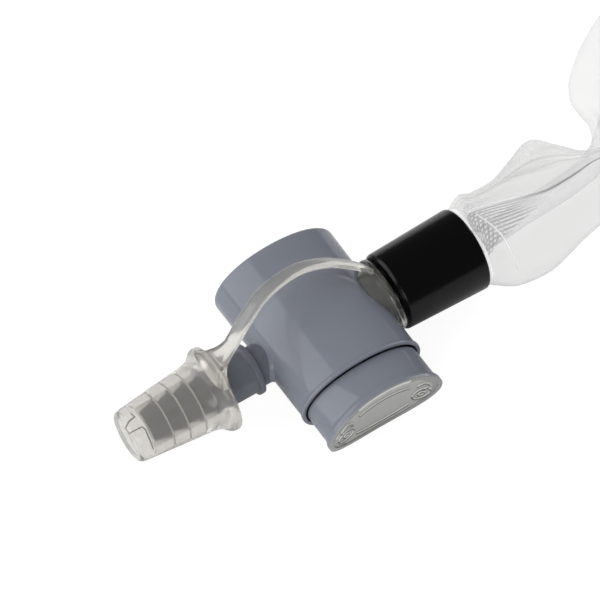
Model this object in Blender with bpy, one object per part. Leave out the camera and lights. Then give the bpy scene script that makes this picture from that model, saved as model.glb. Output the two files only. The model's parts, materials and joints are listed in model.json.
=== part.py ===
"""Closed suction catheter: oval push valve, tethered port cap, sleeved catheter and patient manifold.

Sizes are real, in metres. The valve's port runs along X, its push stem along Y and up is +Z.
Every piece of the valve is drawn about the point where those two axes cross; the empty
valve_axes puts that point in place, so that the valve's box is centred over the origin and
the valve lies on the ground plane.
"""
import math

import bmesh
import bpy
from mathutils import Vector

MM = 0.001
GAP = 0.3 * MM                      # clear space between two meshes that touch
PAST = 1.0 * MM                     # how far a guide runs past what it cuts or joins

# Valve body, an oval barrel along Y
BODY_HALF_W = 12.5 * MM             # half width along X
BODY_HALF_H = 8.1 * MM              # half height along Z
BODY_FLARE = 0.5 * MM               # extra at the closed end
BODY_BACK = 16.5 * MM               # closed end, from the port axis
BODY_FRONT = 14.0 * MM              # button end, from the port axis
LIP_OUT = 0.3 * MM                  # bead round the button end
LIP_LEN = 1.2 * MM
BODY_EDGE = 0.8 * MM                # rounding of the closed end
OVAL_POWER = 2.1                    # 2 is an ellipse, more is squarer
OVAL_SEGMENTS = 48

# Button recess and the bore for the stem
RECESS_DEPTH = 4.6 * MM
STEM_BORE_R = 5.4 * MM
PASSAGE_R = 2.0 * MM                # suction way through port, bore and spigot

# Base cap in the closed end
BASE_CAP_THICK = 2.0 * MM
BASE_CAP_RIM = 1.5 * MM             # body wall left round the cap
BASE_CAP_INSET = 0.3 * MM

# Bonnet ring that keeps the stem in
BONNET_WALL = 0.9 * MM              # body wall left round the ring
BONNET_THICK = 0.9 * MM
BONNET_HOLE_R = 3.2 * MM

# Stem
STEM_R = 5.1 * MM
STEM_NECK_R = 2.8 * MM
STEM_PIN_R = 1.9 * MM
STEM_PIN_LEN = 4.0 * MM
STEM_BACK = 7.0 * MM                # end that the spring pushes on, from the port axis
WAIST_R = 2.9 * MM
WAIST_HALF = 1.6 * MM
SEAL_GROOVE_R = 4.0 * MM
SEAL_GROOVE_HALF = 0.75 * MM
SEAL_RING_R = 4.75 * MM
SEAL_WIRE_R = 0.45 * MM
SEAL_MARGIN = 1.0 * MM              # from the passage's edge to a seal's centre
PRESS_TRAVEL = 4.0 * MM

# Return spring
SPRING_R = 3.9 * MM
SPRING_WIRE_R = 0.4 * MM
SPRING_TURNS = 5
SPRING_POINTS_PER_TURN = 12

# Thumb button
BUTTON_INSET_W = 0.75 * MM          # how far the button's sides stay inside the body's
BUTTON_INSET_H = 0.9 * MM
FLANGE_OUT = 0.4 * MM
FLANGE_THICK = 1.2 * MM
FLANGE_TIP = 22.2 * MM              # tips of the thumb face, from the port axis
FACE_DISH = 1.6 * MM                # depth of the thumb hollow
FACE_LEAN = 0.9 * MM                # how far the face leans back towards the ground
BUTTON_WALL = 1.3 * MM
BUTTON_FACE_THICK = 1.7 * MM
BUTTON_BOSS_R = 3.6 * MM

# Vacuum port on the -X side
PORT_NECK_R = 4.0 * MM
PORT_BEAD_R = 5.05 * MM
PORT_BEAD_X = 15.4 * MM
PORT_BEAD_HALF = 0.6 * MM
PORT_TUBE_R = 4.4 * MM
PORT_STEP_X = 24.5 * MM             # where the tube steps down to the barb
PORT_END = 37.5 * MM
BARB_R = 3.9 * MM
BARB_DROP = 0.6 * MM
BARB_COUNT = 4

# Port cap
CAP_FACE_X = 22.0 * MM              # flange face towards the valve
CAP_FLANGE_R = 8.4 * MM
CAP_FLANGE_THICK = 2.4 * MM
CAP_BASE_R = 6.6 * MM
CAP_TIP_R = 5.1 * MM
CAP_TIP_X = 41.6 * MM
CAP_TIP_EDGE = 0.8 * MM
CAP_RIM_EDGE = 0.6 * MM             # rounding of the flange's front
CAP_FLARE = 0.8 * MM                # how far the back of the flange stands out from the sleeve
CAP_FLARE_LEN = 1.0 * MM
CAP_RIM_BACK = 1.4 * MM             # where the flange starts to narrow, from its face
CAP_ROOF_GAP = 0.6 * MM             # free room past the port's end

# Catheter spigot on the +X side
SPIGOT_R = 5.6 * MM
SPIGOT_BACK = 4.4 * MM              # how far the spigot stays back from the collar's end

# Tether: the anchor ring on the spigot and the strap to the cap
RING_CLEAR = 0.2 * MM               # from the barrel's widest place to the ring
RING_THICK = 1.0 * MM
RING_R = 7.5 * MM
STRAP_WIDTH = 3.0 * MM
STRAP_THICK = 1.2 * MM
STRAP_END_TWIST = 48.0              # degrees that the strap turns on its way to the ring
STRAP_STATIONS = 25
STRAP_ROOT_GAP = 0.45 * MM          # from the cap's rim to the middle of the strap's end
STRAP_BITE = 1.0 * MM               # how deep the strap runs into the ring
# Places on the strap's middle line, from the crossing of the axes, in millimetres
STRAP_ROUTE = (
    (-22.7, 0.1, 9.8),
    (-19.9, 0.6, 11.6),
    (-15.3, 2.4, 13.5),
    (-8.8, 5.1, 14.2),
    (-1.6, 7.0, 13.1),
    (4.8, 6.5, 10.8),
    (9.4, 5.5, 8.4),
    (12.9, 5.8, 6.6),
)

# Collar that holds the film on the spigot
COLLAR_LEN = 17.9 * MM
COLLAR_R_START = 7.8 * MM
COLLAR_R_END = 8.4 * MM
COLLAR_EDGE = 0.7 * MM

# Catheter, 14 French, and its film sleeve
CATHETER_R = 2.35 * MM
SLEEVE_END_R = 7.9 * MM             # where the film leaves a collar
SLEEVE_WALL = 0.5 * MM
SIDE_PARTS = 2                      # sides of the sleeve for each place round a section
BUSH_R = 5.6 * MM
BUSH_NOSE = 0.4 * MM                # how far the bush stays back from the collar's end
ROUTE_STEP = 11.0 * MM              # spacing of the catheter's points
SLEEVE_PARTS = 3                    # rings of the sleeve for each section
# Places on the route from the spigot, from the crossing of the axes, in millimetres:
# X, Y, catheter's height, sleeve's height, sleeve's half width and half thickness
ROUTE = (
    (40.1, 0.7, -1.0, -0.8, 9.6, 7.2),
    (47.2, 2.1, -2.4, -1.6, 9.8, 6.6),
    (57.3, 3.3, -3.9, -2.6, 9.0, 5.7),
    (67.3, 5.9, -4.8, -3.3, 6.4, 4.8),
    (76.3, 13.2, -5.0, -2.8, 9.2, 5.9),
    (85.0, 19.8, -5.0, -2.6, 10.4, 6.1),
    (101.0, 26.5, -5.0, -2.6, 10.6, 6.2),
    (126.0, 33.5, -5.0, -2.6, 10.4, 6.2),
    (165.0, 45.0, -5.0, -2.6, 10.4, 6.2),
    (194.5, 73.0, -5.0, -2.6, 10.4, 6.2),
    (202.0, 115.0, -5.0, -2.6, 10.4, 6.2),
    (185.0, 155.0, -5.0, -2.6, 10.4, 6.2),
    (147.0, 177.0, -5.0, -2.6, 10.4, 6.2),
    (100.0, 184.0, -5.0, -2.6, 10.4, 6.2),
    (60.0, 186.0, -4.0, -1.2, 10.0, 6.6),
    (35.0, 186.0, -0.8, 0.4, 9.4, 7.2),
    (15.0, 186.0, 1.9, 2.0, 8.6, 7.9),
    (4.0, 186.0, 2.4, 2.4, 8.0, 7.9),
)
# The film's first folds take the place of the sleeve's first four sections: places on the film,
# from the crossing of the axes, in millimetres. Each section has eight, round the catheter:
# near side, belly, near crease, ridge, far crease, far side and two underneath.
FOLDS = (
    ((35.6, -9.4, -2.5), (35.4, -4.6, 5.6), (34.9, 3.2, 5.2), (35.2, 4.6, 6.4),
     (35.2, 5.6, 6.6), (35.2, 7.4, 5.4), (35.4, 6.2, -5.6), (35.6, -4.8, -6.8)),
    ((38.2, -10.5, -3.0), (38.4, -4.8, 5.4), (38.5, 3.7, 3.8), (38.4, 5.0, 4.9),
     (38.2, 5.9, 4.6), (38.2, 7.2, 4.6), (38.6, 6.8, -5.8), (38.6, -5.2, -7.2)),
    ((42.4, -10.8, -3.2), (42.8, -4.9, 4.8), (43.0, 3.2, 2.6), (43.4, 5.4, 3.7),
     (43.8, 6.8, 3.0), (43.4, 7.7, 3.8), (43.2, 7.6, -5.8), (43.0, -5.2, -7.9)),
    ((47.2, -10.2, -3.4), (47.8, -4.4, 3.8), (48.4, 2.6, 1.3), (48.4, 5.6, 2.6),
     (48.8, 7.9, 1.4), (48.6, 9.3, 4.8), (48.4, 8.8, -6.0), (48.0, -4.8, -8.0)),
    ((52.8, -8.7, -3.4), (53.0, -3.6, 2.6), (53.0, 2.2, 0.4), (53.2, 5.4, 1.7),
     (53.4, 7.8, 0.8), (53.6, 10.4, 6.4), (53.8, 10.2, -6.2), (53.0, -4.0, -8.0)),
    ((58.0, -7.5, -3.4), (58.0, -2.6, 1.6), (58.2, 2.7, -0.2), (58.2, 5.0, 1.0),
     (58.2, 7.2, 0.2), (58.6, 8.4, 3.6), (60.0, 10.8, -7.0), (58.0, -2.8, -8.0)),
    ((63.6, -5.4, -3.6), (63.2, -1.0, 1.0), (63.2, 3.2, -0.4), (63.0, 4.2, 0.6),
     (63.0, 5.0, 0.2), (62.8, 6.0, 1.4), (64.8, 10.6, -7.4), (64.0, -1.2, -8.0)),
    ((70.2, -1.6, -3.6), (69.4, 1.2, 0.8), (68.2, 3.8, 0.0), (67.4, 4.8, 0.6),
     (67.0, 5.4, 0.4), (66.4, 6.4, 0.8), (67.6, 11.2, -7.4), (70.2, 1.6, -8.0)),
    ((76.4, 3.4, -3.4), (74.2, 6.2, 2.4), (71.6, 9.2, 2.6), (70.2, 10.6, 3.2),
     (69.0, 11.4, 2.8), (67.2, 12.5, 2.8), (69.6, 15.4, -7.4), (75.6, 6.0, -7.9)),
)
FOLDED_PLACES = 4                   # places on the route whose sections the folds replace
SECTION_ANGLES = (0, 45, 80, 105, 130, 180, 235, 305)   # of a section's places, in degrees

# Patient manifold at the far end, lying along X
MANIFOLD_X = 0.0 * MM               # sleeve end of the manifold's collar, from the crossing of the axes
MANIFOLD_Y = 186.0 * MM
FAR_COLLAR_LEN = 16.0 * MM
CHAMBER_R = 8.6 * MM
CHAMBER_WALL = 1.5 * MM
CHAMBER_LEN = 34.0 * MM
SOCKET_SPIGOT_R = 6.4 * MM
SOCKET_SPIGOT_BACK = 1.0 * MM       # how far the spigot stays back from the collar's end
CATHETER_REST = 9.0 * MM            # where the drawn-back catheter ends, inside the spigot
CHAMBER_END_WALL = 3.3 * MM
WIPER_THICK = 1.6 * MM
RETAINER_THICK = 1.8 * MM
RETAINER_HOLE_R = 5.1 * MM
BRANCH_X = 20.0 * MM                # side branch, from the chamber's start
BRANCH_R = 7.6 * MM
BRANCH_BORE_R = 6.1 * MM
BRANCH_LEN = 12.0 * MM
SWIVEL_R = 11.0 * MM                # 22 mm outer cone of the airway connector
SWIVEL_BORE_R = 7.65 * MM           # 15 mm socket
SWIVEL_LEN = 20.0 * MM
SWIVEL_SKIRT = 7.0 * MM             # length of the swivel that runs on the manifold
SWIVEL_SHOULDER = 1.0 * MM
CIRCUIT_R = 9.6 * MM
CIRCUIT_LEN = 18.0 * MM
CIRCUIT_SKIRT = 6.0 * MM
CIRCUIT_STEP = 2.0 * MM             # how far the wide part runs past the branch's end
CIRCUIT_STEP_LEN = 1.0 * MM
LUER_X = 8.0 * MM                   # irrigation port, from the chamber's start
LUER_R = 2.6 * MM
LUER_BORE_R = 1.1 * MM
LUER_LEN = 9.0 * MM
LUER_CAP_R = 3.9 * MM
LUER_CAP_WALL = 1.0 * MM
LUER_CAP_LEN = 7.0 * MM

FACE_RINGS = 8                      # rings of faces across the thumb hollow
FINE_STEPS = 40                     # steps between two places of a route, before they are evened out
SHARP_ANGLE = 35.0                  # degrees past which an edge is shaded sharp
ROUND_SEGMENTS = 32
SMALL_SEGMENTS = 20                 # narrow bores and the irrigation port
INNER_SEGMENTS = 24                 # pieces that stay inside the valve
ROUND_MIDDLE = 1 - math.cos(math.radians(45))   # middle of a quarter round, from its corner's sides
SEAL_WIRE_SIDES = 6

# Worked out from the sizes above
AXIS_HEIGHT = BODY_HALF_H + BODY_FLARE
RING_X = BODY_HALF_W + BODY_FLARE + RING_CLEAR
COLLAR_START = RING_X + RING_THICK + GAP
COLLAR_END = COLLAR_START + COLLAR_LEN
SPIGOT_END = COLLAR_END - SPIGOT_BACK
VALVE_X = (CAP_TIP_X - COLLAR_END) / 2
BONNET_R = BODY_HALF_H - BONNET_WALL - GAP
BUTTON_HALF_W = BODY_HALF_W - BUTTON_INSET_W
BUTTON_HALF_H = BODY_HALF_H - BUTTON_INSET_H
FLANGE_HALF_W = BUTTON_HALF_W + FLANGE_OUT
FLANGE_HALF_H = BUTTON_HALF_H + FLANGE_OUT
FLANGE_REACH = FLANGE_TIP + FACE_LEAN ** 2 / (4 * FACE_DISH)
VALVE_Y = (FLANGE_REACH - BODY_BACK) / 2
RECESS_FLOOR = -BODY_FRONT + RECESS_DEPTH
BONNET_BACK = RECESS_FLOOR + BONNET_THICK
STEM_SHOULDER = BONNET_BACK + GAP
BASE_CAP_FRONT = BODY_BACK - BASE_CAP_INSET - BASE_CAP_THICK
BUTTON_BACK = -BODY_FRONT - GAP
MANIFOLD_AXIS_UP = SWIVEL_R - AXIS_HEIGHT


def clear_scene():
    for item in list(bpy.data.objects):
        bpy.data.objects.remove(item, do_unlink=True)


def make_material(name, colour, roughness, metallic=0.0, alpha=1.0):
    material = bpy.data.materials.new(name)
    material.use_nodes = True
    shader = material.node_tree.nodes["Principled BSDF"]
    shader.inputs["Base Color"].default_value = (*colour, 1.0)
    shader.inputs["Roughness"].default_value = roughness
    shader.inputs["Metallic"].default_value = metallic
    shader.inputs["Alpha"].default_value = alpha
    return material


def finish_mesh(name, bm, material=None, parent=None):
    """Close a bmesh into an object whose origin is the parent's."""
    bmesh.ops.remove_doubles(bm, verts=bm.verts, dist=1e-7)
    bmesh.ops.recalc_face_normals(bm, faces=bm.faces)
    mesh = bpy.data.meshes.new(name)
    bm.to_mesh(mesh)
    bm.free()
    mesh.shade_smooth()
    mesh.set_sharp_from_angle(angle=math.radians(SHARP_ANGLE))
    item = bpy.data.objects.new(name, mesh)
    bpy.context.collection.objects.link(item)
    if material:
        mesh.materials.append(material)
    if parent:
        item.parent = parent
    return item


def turned(name, profile, axis, material=None, parent=None, closed=True, centre=(0, 0, 0),
           segments=ROUND_SEGMENTS):
    """Spin a profile of (place along the axis, radius) about X, Y or Z through centre.

    A closed profile makes a ring; an open one starts and ends on the axis. The object's
    origin is centre, so it lies on the piece's own axis."""
    along = {"X": Vector((1, 0, 0)), "Y": Vector((0, 1, 0)), "Z": Vector((0, 0, 1))}[axis]
    out = {"X": Vector((0, 0, 1)), "Y": Vector((0, 0, 1)), "Z": Vector((1, 0, 0))}[axis]
    bm = bmesh.new()
    verts = [bm.verts.new(along * place + out * radius) for place, radius in profile]
    ends = list(zip(verts, verts[1:]))
    if closed:
        ends.append((verts[-1], verts[0]))
    edges = [bm.edges.new(pair) for pair in ends]
    bmesh.ops.spin(bm, geom=verts + edges, cent=(0, 0, 0), axis=along, angle=math.tau,
                   steps=segments, use_duplicate=False)
    item = finish_mesh(name, bm, material, parent)
    item.location = centre
    return item


def oval_point(angle, half_w, half_h):
    cosine, sine = math.cos(angle), math.sin(angle)
    power = 2 / OVAL_POWER
    return (half_w * math.copysign(abs(cosine) ** power, cosine),
            half_h * math.copysign(abs(sine) ** power, sine))


def oval_loft(name, rings, material=None, parent=None):
    """Join oval rings across Y. Each ring is (y, half width, half height, dish, lean)."""
    bm = bmesh.new()
    loops = []
    for place, half_w, half_h, dish, lean in rings:
        loop = []
        for step in range(OVAL_SEGMENTS):
            x, z = oval_point(math.tau * step / OVAL_SEGMENTS, half_w, half_h)
            y = place + dish * (1 - (x / FLANGE_HALF_W) ** 2) - lean * z / FLANGE_HALF_H
            loop.append(bm.verts.new((x, y, z)))
        loops.append(loop)
    for first, second in zip(loops, loops[1:]):
        for step in range(OVAL_SEGMENTS):
            after = (step + 1) % OVAL_SEGMENTS
            bm.faces.new((first[step], first[after], second[after], second[step]))
    bm.faces.new(loops[0])
    bm.faces.new(reversed(loops[-1]))
    return finish_mesh(name, bm, material, parent)


def combine(item, other, operation):
    """Join or cut with another solid, which is kept as a hidden guide."""
    modifier = item.modifiers.new(operation.title() + " " + other.name, "BOOLEAN")
    modifier.operation = operation
    modifier.solver = "EXACT"
    modifier.object = other
    other.hide_render = True
    other.display_type = "WIRE"


def join(item, other):
    combine(item, other, "UNION")


def cut(item, other):
    combine(item, other, "DIFFERENCE")


def plain_rings(*sizes):
    return [(place, half_w, half_h, 0.0, 0.0) for place, half_w, half_h in sizes]


def spline_point(points, index, share):
    """A place on the smooth curve through the points, so far from one to the next."""
    start, end = points[index], points[index + 1]
    before = points[index - 1] if index else start * 2 - end
    after = points[index + 2] if index + 2 < len(points) else end * 2 - start
    return 0.5 * (2 * start + (end - before) * share
                  + (2 * before - 5 * start + 4 * end - after) * share ** 2
                  + (3 * start - before - 3 * end + after) * share ** 3)


def smooth_route(points, step):
    """Even points on a smooth curve through the given ones."""
    fine = [spline_point(points, index, part / FINE_STEPS)
            for index in range(len(points) - 1) for part in range(FINE_STEPS)]
    fine.append(points[-1])
    lengths = [0.0]
    for here, there in zip(fine, fine[1:]):
        lengths.append(lengths[-1] + (there - here).length)
    count = max(2, round(lengths[-1] / step))
    even = []
    index = 0
    for number in range(count + 1):
        wanted = lengths[-1] * number / count
        while index < len(fine) - 2 and lengths[index + 1] < wanted:
            index += 1
        span = lengths[index + 1] - lengths[index]
        even.append(fine[index].lerp(fine[index + 1], (wanted - lengths[index]) / span))
    return even


def tangent(points, index):
    ahead = points[min(index + 1, len(points) - 1)]
    behind = points[max(index - 1, 0)]
    return (ahead - behind).normalized()


def valve_body(material, parent):
    end_w = BODY_HALF_W + BODY_FLARE
    end_h = BODY_HALF_H + BODY_FLARE
    round_off = BODY_EDGE * ROUND_MIDDLE
    body = oval_loft("valve_body", plain_rings(
        (BODY_BACK, end_w - BODY_EDGE, end_h - BODY_EDGE),
        (BODY_BACK - round_off, end_w - round_off, end_h - round_off),
        (BODY_BACK - BODY_EDGE, end_w, end_h),
        (-BODY_FRONT + LIP_LEN + LIP_OUT, BODY_HALF_W, BODY_HALF_H),
        (-BODY_FRONT + LIP_LEN, BODY_HALF_W + LIP_OUT, BODY_HALF_H + LIP_OUT),
        (-BODY_FRONT, BODY_HALF_W + LIP_OUT, BODY_HALF_H + LIP_OUT)), material, parent)
    barb_len = (PORT_END - PORT_STEP_X) / BARB_COUNT
    port = [(-STEM_BORE_R, 0), (-STEM_BORE_R, PORT_NECK_R),
            (-PORT_BEAD_X + PORT_BEAD_HALF, PORT_NECK_R), (-PORT_BEAD_X + PORT_BEAD_HALF, PORT_BEAD_R),
            (-PORT_BEAD_X - PORT_BEAD_HALF, PORT_BEAD_R), (-PORT_BEAD_X - PORT_BEAD_HALF, PORT_TUBE_R),
            (-PORT_STEP_X, PORT_TUBE_R)]
    for number in range(BARB_COUNT):
        start = PORT_STEP_X + number * barb_len
        port.append((-start, BARB_R))
        port.append((-start - barb_len, BARB_R - BARB_DROP))
    port.append((-PORT_END, 0))
    join(body, turned("port_guide", port, "X", None, parent, closed=False))
    spigot = [(STEM_BORE_R, 0), (STEM_BORE_R, SPIGOT_R), (SPIGOT_END, SPIGOT_R), (SPIGOT_END, 0)]
    join(body, turned("spigot_guide", spigot, "X", None, parent, closed=False))
    recess_w = BUTTON_HALF_W + GAP
    recess_h = BUTTON_HALF_H + GAP
    cut(body, oval_loft("recess_guide", plain_rings(
        (-BODY_FRONT - PAST, recess_w, recess_h), (RECESS_FLOOR, recess_w, recess_h)), None, parent))
    seat_r = BONNET_R + GAP
    bore = [(RECESS_FLOOR - PAST, 0), (RECESS_FLOOR - PAST, seat_r), (BONNET_BACK, seat_r),
            (BONNET_BACK, STEM_BORE_R), (BASE_CAP_FRONT, STEM_BORE_R), (BASE_CAP_FRONT, 0)]
    cut(body, turned("bore_guide", bore, "Y", None, parent, closed=False))
    pocket_w = BODY_HALF_W - BASE_CAP_RIM
    pocket_h = BODY_HALF_H - BASE_CAP_RIM
    cut(body, oval_loft("base_pocket_guide", plain_rings(
        (BASE_CAP_FRONT - GAP, pocket_w, pocket_h), (BODY_BACK + PAST, pocket_w, pocket_h)), None, parent))
    way = [(-PORT_END - PAST, 0), (-PORT_END - PAST, PASSAGE_R), (SPIGOT_END + PAST, PASSAGE_R),
           (SPIGOT_END + PAST, 0)]
    cut(body, turned("passage_guide", way, "X", None, parent, closed=False, segments=SMALL_SEGMENTS))
    return body


def base_cap(material, parent):
    half_w = BODY_HALF_W - BASE_CAP_RIM - GAP
    half_h = BODY_HALF_H - BASE_CAP_RIM - GAP
    oval_loft("base_cap", plain_rings(
        (BASE_CAP_FRONT, half_w, half_h), (BODY_BACK - BASE_CAP_INSET, half_w, half_h)),
        material, parent)


def bonnet_ring(material, parent):
    turned("bonnet_ring", [
        (RECESS_FLOOR, BONNET_HOLE_R), (RECESS_FLOOR, BONNET_R),
        (BONNET_BACK - GAP, BONNET_R), (BONNET_BACK - GAP, BONNET_HOLE_R)], "Y", material, parent)


def seal_places():
    front = -(PASSAGE_R + SEAL_MARGIN) - PRESS_TRAVEL
    back = PASSAGE_R + SEAL_MARGIN
    return front, back


def valve_stem(material, parent):
    front, back = seal_places()
    waist = -PRESS_TRAVEL
    profile = [(BUTTON_BACK - STEM_PIN_LEN, 0), (BUTTON_BACK - STEM_PIN_LEN, STEM_PIN_R),
               (BUTTON_BACK + GAP, STEM_PIN_R), (BUTTON_BACK + GAP, STEM_NECK_R),
               (STEM_SHOULDER, STEM_NECK_R), (STEM_SHOULDER, STEM_R)]
    for place, half, radius in ((front, SEAL_GROOVE_HALF, SEAL_GROOVE_R), (waist, WAIST_HALF, WAIST_R),
                                (back, SEAL_GROOVE_HALF, SEAL_GROOVE_R)):
        profile += [(place - half, STEM_R), (place - half, radius), (place + half, radius),
                    (place + half, STEM_R)]
    profile += [(STEM_BACK, STEM_R), (STEM_BACK, 0)]
    turned("valve_stem", profile, "Y", material, parent, closed=False, segments=INNER_SEGMENTS)


def stem_seals(material, parent):
    for name, place in zip(("front_seal", "back_seal"), seal_places()):
        wire = [(place + SEAL_WIRE_R * math.cos(math.tau * step / SEAL_WIRE_SIDES),
                 SEAL_RING_R + SEAL_WIRE_R * math.sin(math.tau * step / SEAL_WIRE_SIDES))
                for step in range(SEAL_WIRE_SIDES)]
        turned(name, wire, "Y", material, parent, segments=INNER_SEGMENTS)


def return_spring(material, parent):
    start = STEM_BACK + GAP + SPRING_WIRE_R
    end = BASE_CAP_FRONT - GAP - SPRING_WIRE_R
    count = SPRING_TURNS * SPRING_POINTS_PER_TURN
    curve = bpy.data.curves.new("return_spring", "CURVE")
    curve.dimensions = "3D"
    curve.bevel_depth = SPRING_WIRE_R
    curve.bevel_resolution = 1
    curve.use_fill_caps = True
    spline = curve.splines.new("POLY")
    spline.points.add(count)
    for step, point in enumerate(spline.points):
        angle = math.tau * step / SPRING_POINTS_PER_TURN
        place = start + (end - start) * step / count
        point.co = (SPRING_R * math.cos(angle), place, SPRING_R * math.sin(angle), 1)
    curve.materials.append(material)
    item = bpy.data.objects.new("return_spring", curve)
    bpy.context.collection.objects.link(item)
    item.parent = parent


def thumb_button(material, parent):
    front = -FLANGE_TIP
    rings = [(BUTTON_BACK, BUTTON_HALF_W, BUTTON_HALF_H, 0.0, 0.0),
             (front + FLANGE_THICK + FLANGE_OUT, BUTTON_HALF_W, BUTTON_HALF_H, FACE_DISH, FACE_LEAN),
             (front + FLANGE_THICK, FLANGE_HALF_W, FLANGE_HALF_H, FACE_DISH, FACE_LEAN)]
    for ring in range(FACE_RINGS):
        share = 1 - ring / FACE_RINGS
        rings.append((front, FLANGE_HALF_W * share, FLANGE_HALF_H * share, FACE_DISH, FACE_LEAN))
    button = oval_loft("thumb_button", rings, material, parent)
    inner_w = BUTTON_HALF_W - BUTTON_WALL
    inner_h = BUTTON_HALF_H - BUTTON_WALL
    hollow_front = front + FACE_DISH + FACE_LEAN + BUTTON_FACE_THICK
    cut(button, oval_loft("button_hollow_guide", plain_rings(
        (BUTTON_BACK + PAST, inner_w, inner_h), (hollow_front, inner_w, inner_h)), None, parent))
    boss_end = hollow_front - PAST
    boss = [(BUTTON_BACK, 0), (BUTTON_BACK, BUTTON_BOSS_R), (boss_end, BUTTON_BOSS_R), (boss_end, 0)]
    join(button, turned("button_boss_guide", boss, "Y", None, parent, closed=False))
    pin_end = BUTTON_BACK - STEM_PIN_LEN - GAP
    hole_r = STEM_PIN_R + GAP
    hole = [(BUTTON_BACK + PAST, 0), (BUTTON_BACK + PAST, hole_r), (pin_end, hole_r), (pin_end, 0)]
    cut(button, turned("pin_hole_guide", hole, "Y", None, parent, closed=False, segments=INNER_SEGMENTS))
    return button


def port_cap(material, parent):
    face = -CAP_FACE_X
    back = face - CAP_FLANGE_THICK
    clear_r = PORT_TUBE_R + GAP
    tip = -CAP_TIP_X
    roof = -PORT_END - CAP_ROOF_GAP
    profile = [(face, 0), (face, CAP_FLANGE_R - CAP_RIM_EDGE), (face - CAP_RIM_EDGE, CAP_FLANGE_R),
               (face - CAP_RIM_BACK, CAP_FLANGE_R), (back, CAP_BASE_R + CAP_FLARE),
               (back - CAP_FLARE_LEN, CAP_BASE_R), (tip + CAP_TIP_EDGE, CAP_TIP_R),
               (tip, CAP_TIP_R - CAP_TIP_EDGE), (tip, 0)]
    cap = turned("port_cap", profile, "X", material, parent, closed=False)
    bore = [(face + PAST, 0), (face + PAST, clear_r), (-PORT_STEP_X - GAP, clear_r),
            (-PORT_STEP_X - GAP, BARB_R + GAP), (roof, BARB_R + GAP), (roof, 0)]
    cut(cap, turned("cap_bore_guide", bore, "X", None, parent, closed=False, segments=INNER_SEGMENTS))


def cap_strap(material, parent):
    """Flat band swept from the cap's rim over the body, joined to the anchor ring."""
    rim = Vector((-CAP_FACE_X - CAP_FLANGE_THICK / 2, 0, CAP_FLANGE_R + STRAP_ROOT_GAP))
    angle = math.radians(STRAP_END_TWIST)
    middle_r = RING_R - STRAP_BITE
    ring_join = Vector((RING_X + RING_THICK / 2, middle_r * math.sin(angle), middle_r * math.cos(angle)))
    places = [rim] + [Vector(point) * MM for point in STRAP_ROUTE] + [ring_join]
    length = sum((there - here).length for here, there in zip(places, places[1:]))
    line = smooth_route(places, length / STRAP_STATIONS)
    bm = bmesh.new()
    loops = []
    for index, place in enumerate(line):
        forward = tangent(line, index)
        turn = angle * index / (len(line) - 1)
        across = Vector((0, math.cos(turn), -math.sin(turn)))
        across = (across - forward * across.dot(forward)).normalized()
        outward = forward.cross(across)
        corners = ((-1, -1), (1, -1), (1, 1), (-1, 1))
        loops.append([bm.verts.new(place + across * (side * STRAP_WIDTH / 2)
                                   + outward * (up * STRAP_THICK / 2)) for side, up in corners])
    for first, second in zip(loops, loops[1:]):
        for corner in range(4):
            after = (corner + 1) % 4
            bm.faces.new((first[corner], first[after], second[after], second[corner]))
    bm.faces.new(loops[0])
    bm.faces.new(reversed(loops[-1]))
    strap = finish_mesh("cap_strap", bm, material, parent)
    hole = SPIGOT_R + GAP
    ring = turned("anchor_ring_guide", [
        (RING_X, hole), (RING_X, RING_R), (RING_X + RING_THICK, RING_R), (RING_X + RING_THICK, hole)],
        "X", None, parent)
    join(strap, ring)
    return strap


def collar(name, start, end, r_start, r_end, hole, material, parent, centre=(0, 0, 0)):
    edge = math.copysign(COLLAR_EDGE, end - start)
    half_edge = edge * ROUND_MIDDLE
    middle = COLLAR_EDGE * ROUND_MIDDLE
    turned(name, [
        (start, hole), (start, r_start - COLLAR_EDGE), (start + half_edge, r_start - middle),
        (start + edge, r_start), (end - edge, r_end), (end - half_edge, r_end - middle),
        (end, r_end - COLLAR_EDGE), (end, hole)], "X", material, parent, centre=centre)


def catheter_bush(material, parent):
    hole = CATHETER_R + GAP
    turned("catheter_bush", [
        (SPIGOT_END + GAP, hole), (SPIGOT_END + GAP, BUSH_R), (COLLAR_END - BUSH_NOSE, BUSH_R),
        (COLLAR_END - BUSH_NOSE, hole)], "X", material, parent)


def manifold_places():
    """Ends of the far collar and of the chamber, along X from the crossing of the axes."""
    collar_end = MANIFOLD_X - FAR_COLLAR_LEN
    chamber_end = collar_end - GAP - CHAMBER_LEN
    return collar_end, chamber_end


def catheter_tube(material, parent):
    start = Vector((SPIGOT_END + 2 * GAP, 0, 0))
    end = Vector((MANIFOLD_X - CATHETER_REST, MANIFOLD_Y, MANIFOLD_AXIS_UP))
    middle = [Vector((x, y, height)) * MM for x, y, height, _, _, _ in ROUTE]
    line = smooth_route([start, *middle, end], ROUTE_STEP)
    curve = bpy.data.curves.new("catheter_tube", "CURVE")
    curve.dimensions = "3D"
    curve.bevel_depth = CATHETER_R
    curve.bevel_resolution = 2
    curve.use_fill_caps = True
    spline = curve.splines.new("POLY")
    spline.points.add(len(line) - 1)
    for place, point in zip(line, spline.points):
        point.co = (*place, 1)
    curve.materials.append(material)
    item = bpy.data.objects.new("catheter_tube", curve)
    bpy.context.collection.objects.link(item)
    item.parent = parent


def oval_section(place, heading, half_w, half_t):
    """Eight places round an oval that faces along the heading, from its right-hand side over the top."""
    up = Vector((0, 0, 1))
    side = heading.cross(up).normalized()
    return [place + side * (half_w * math.cos(math.radians(angle)))
            + up * (half_t * math.sin(math.radians(angle))) for angle in SECTION_ANGLES]


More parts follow.
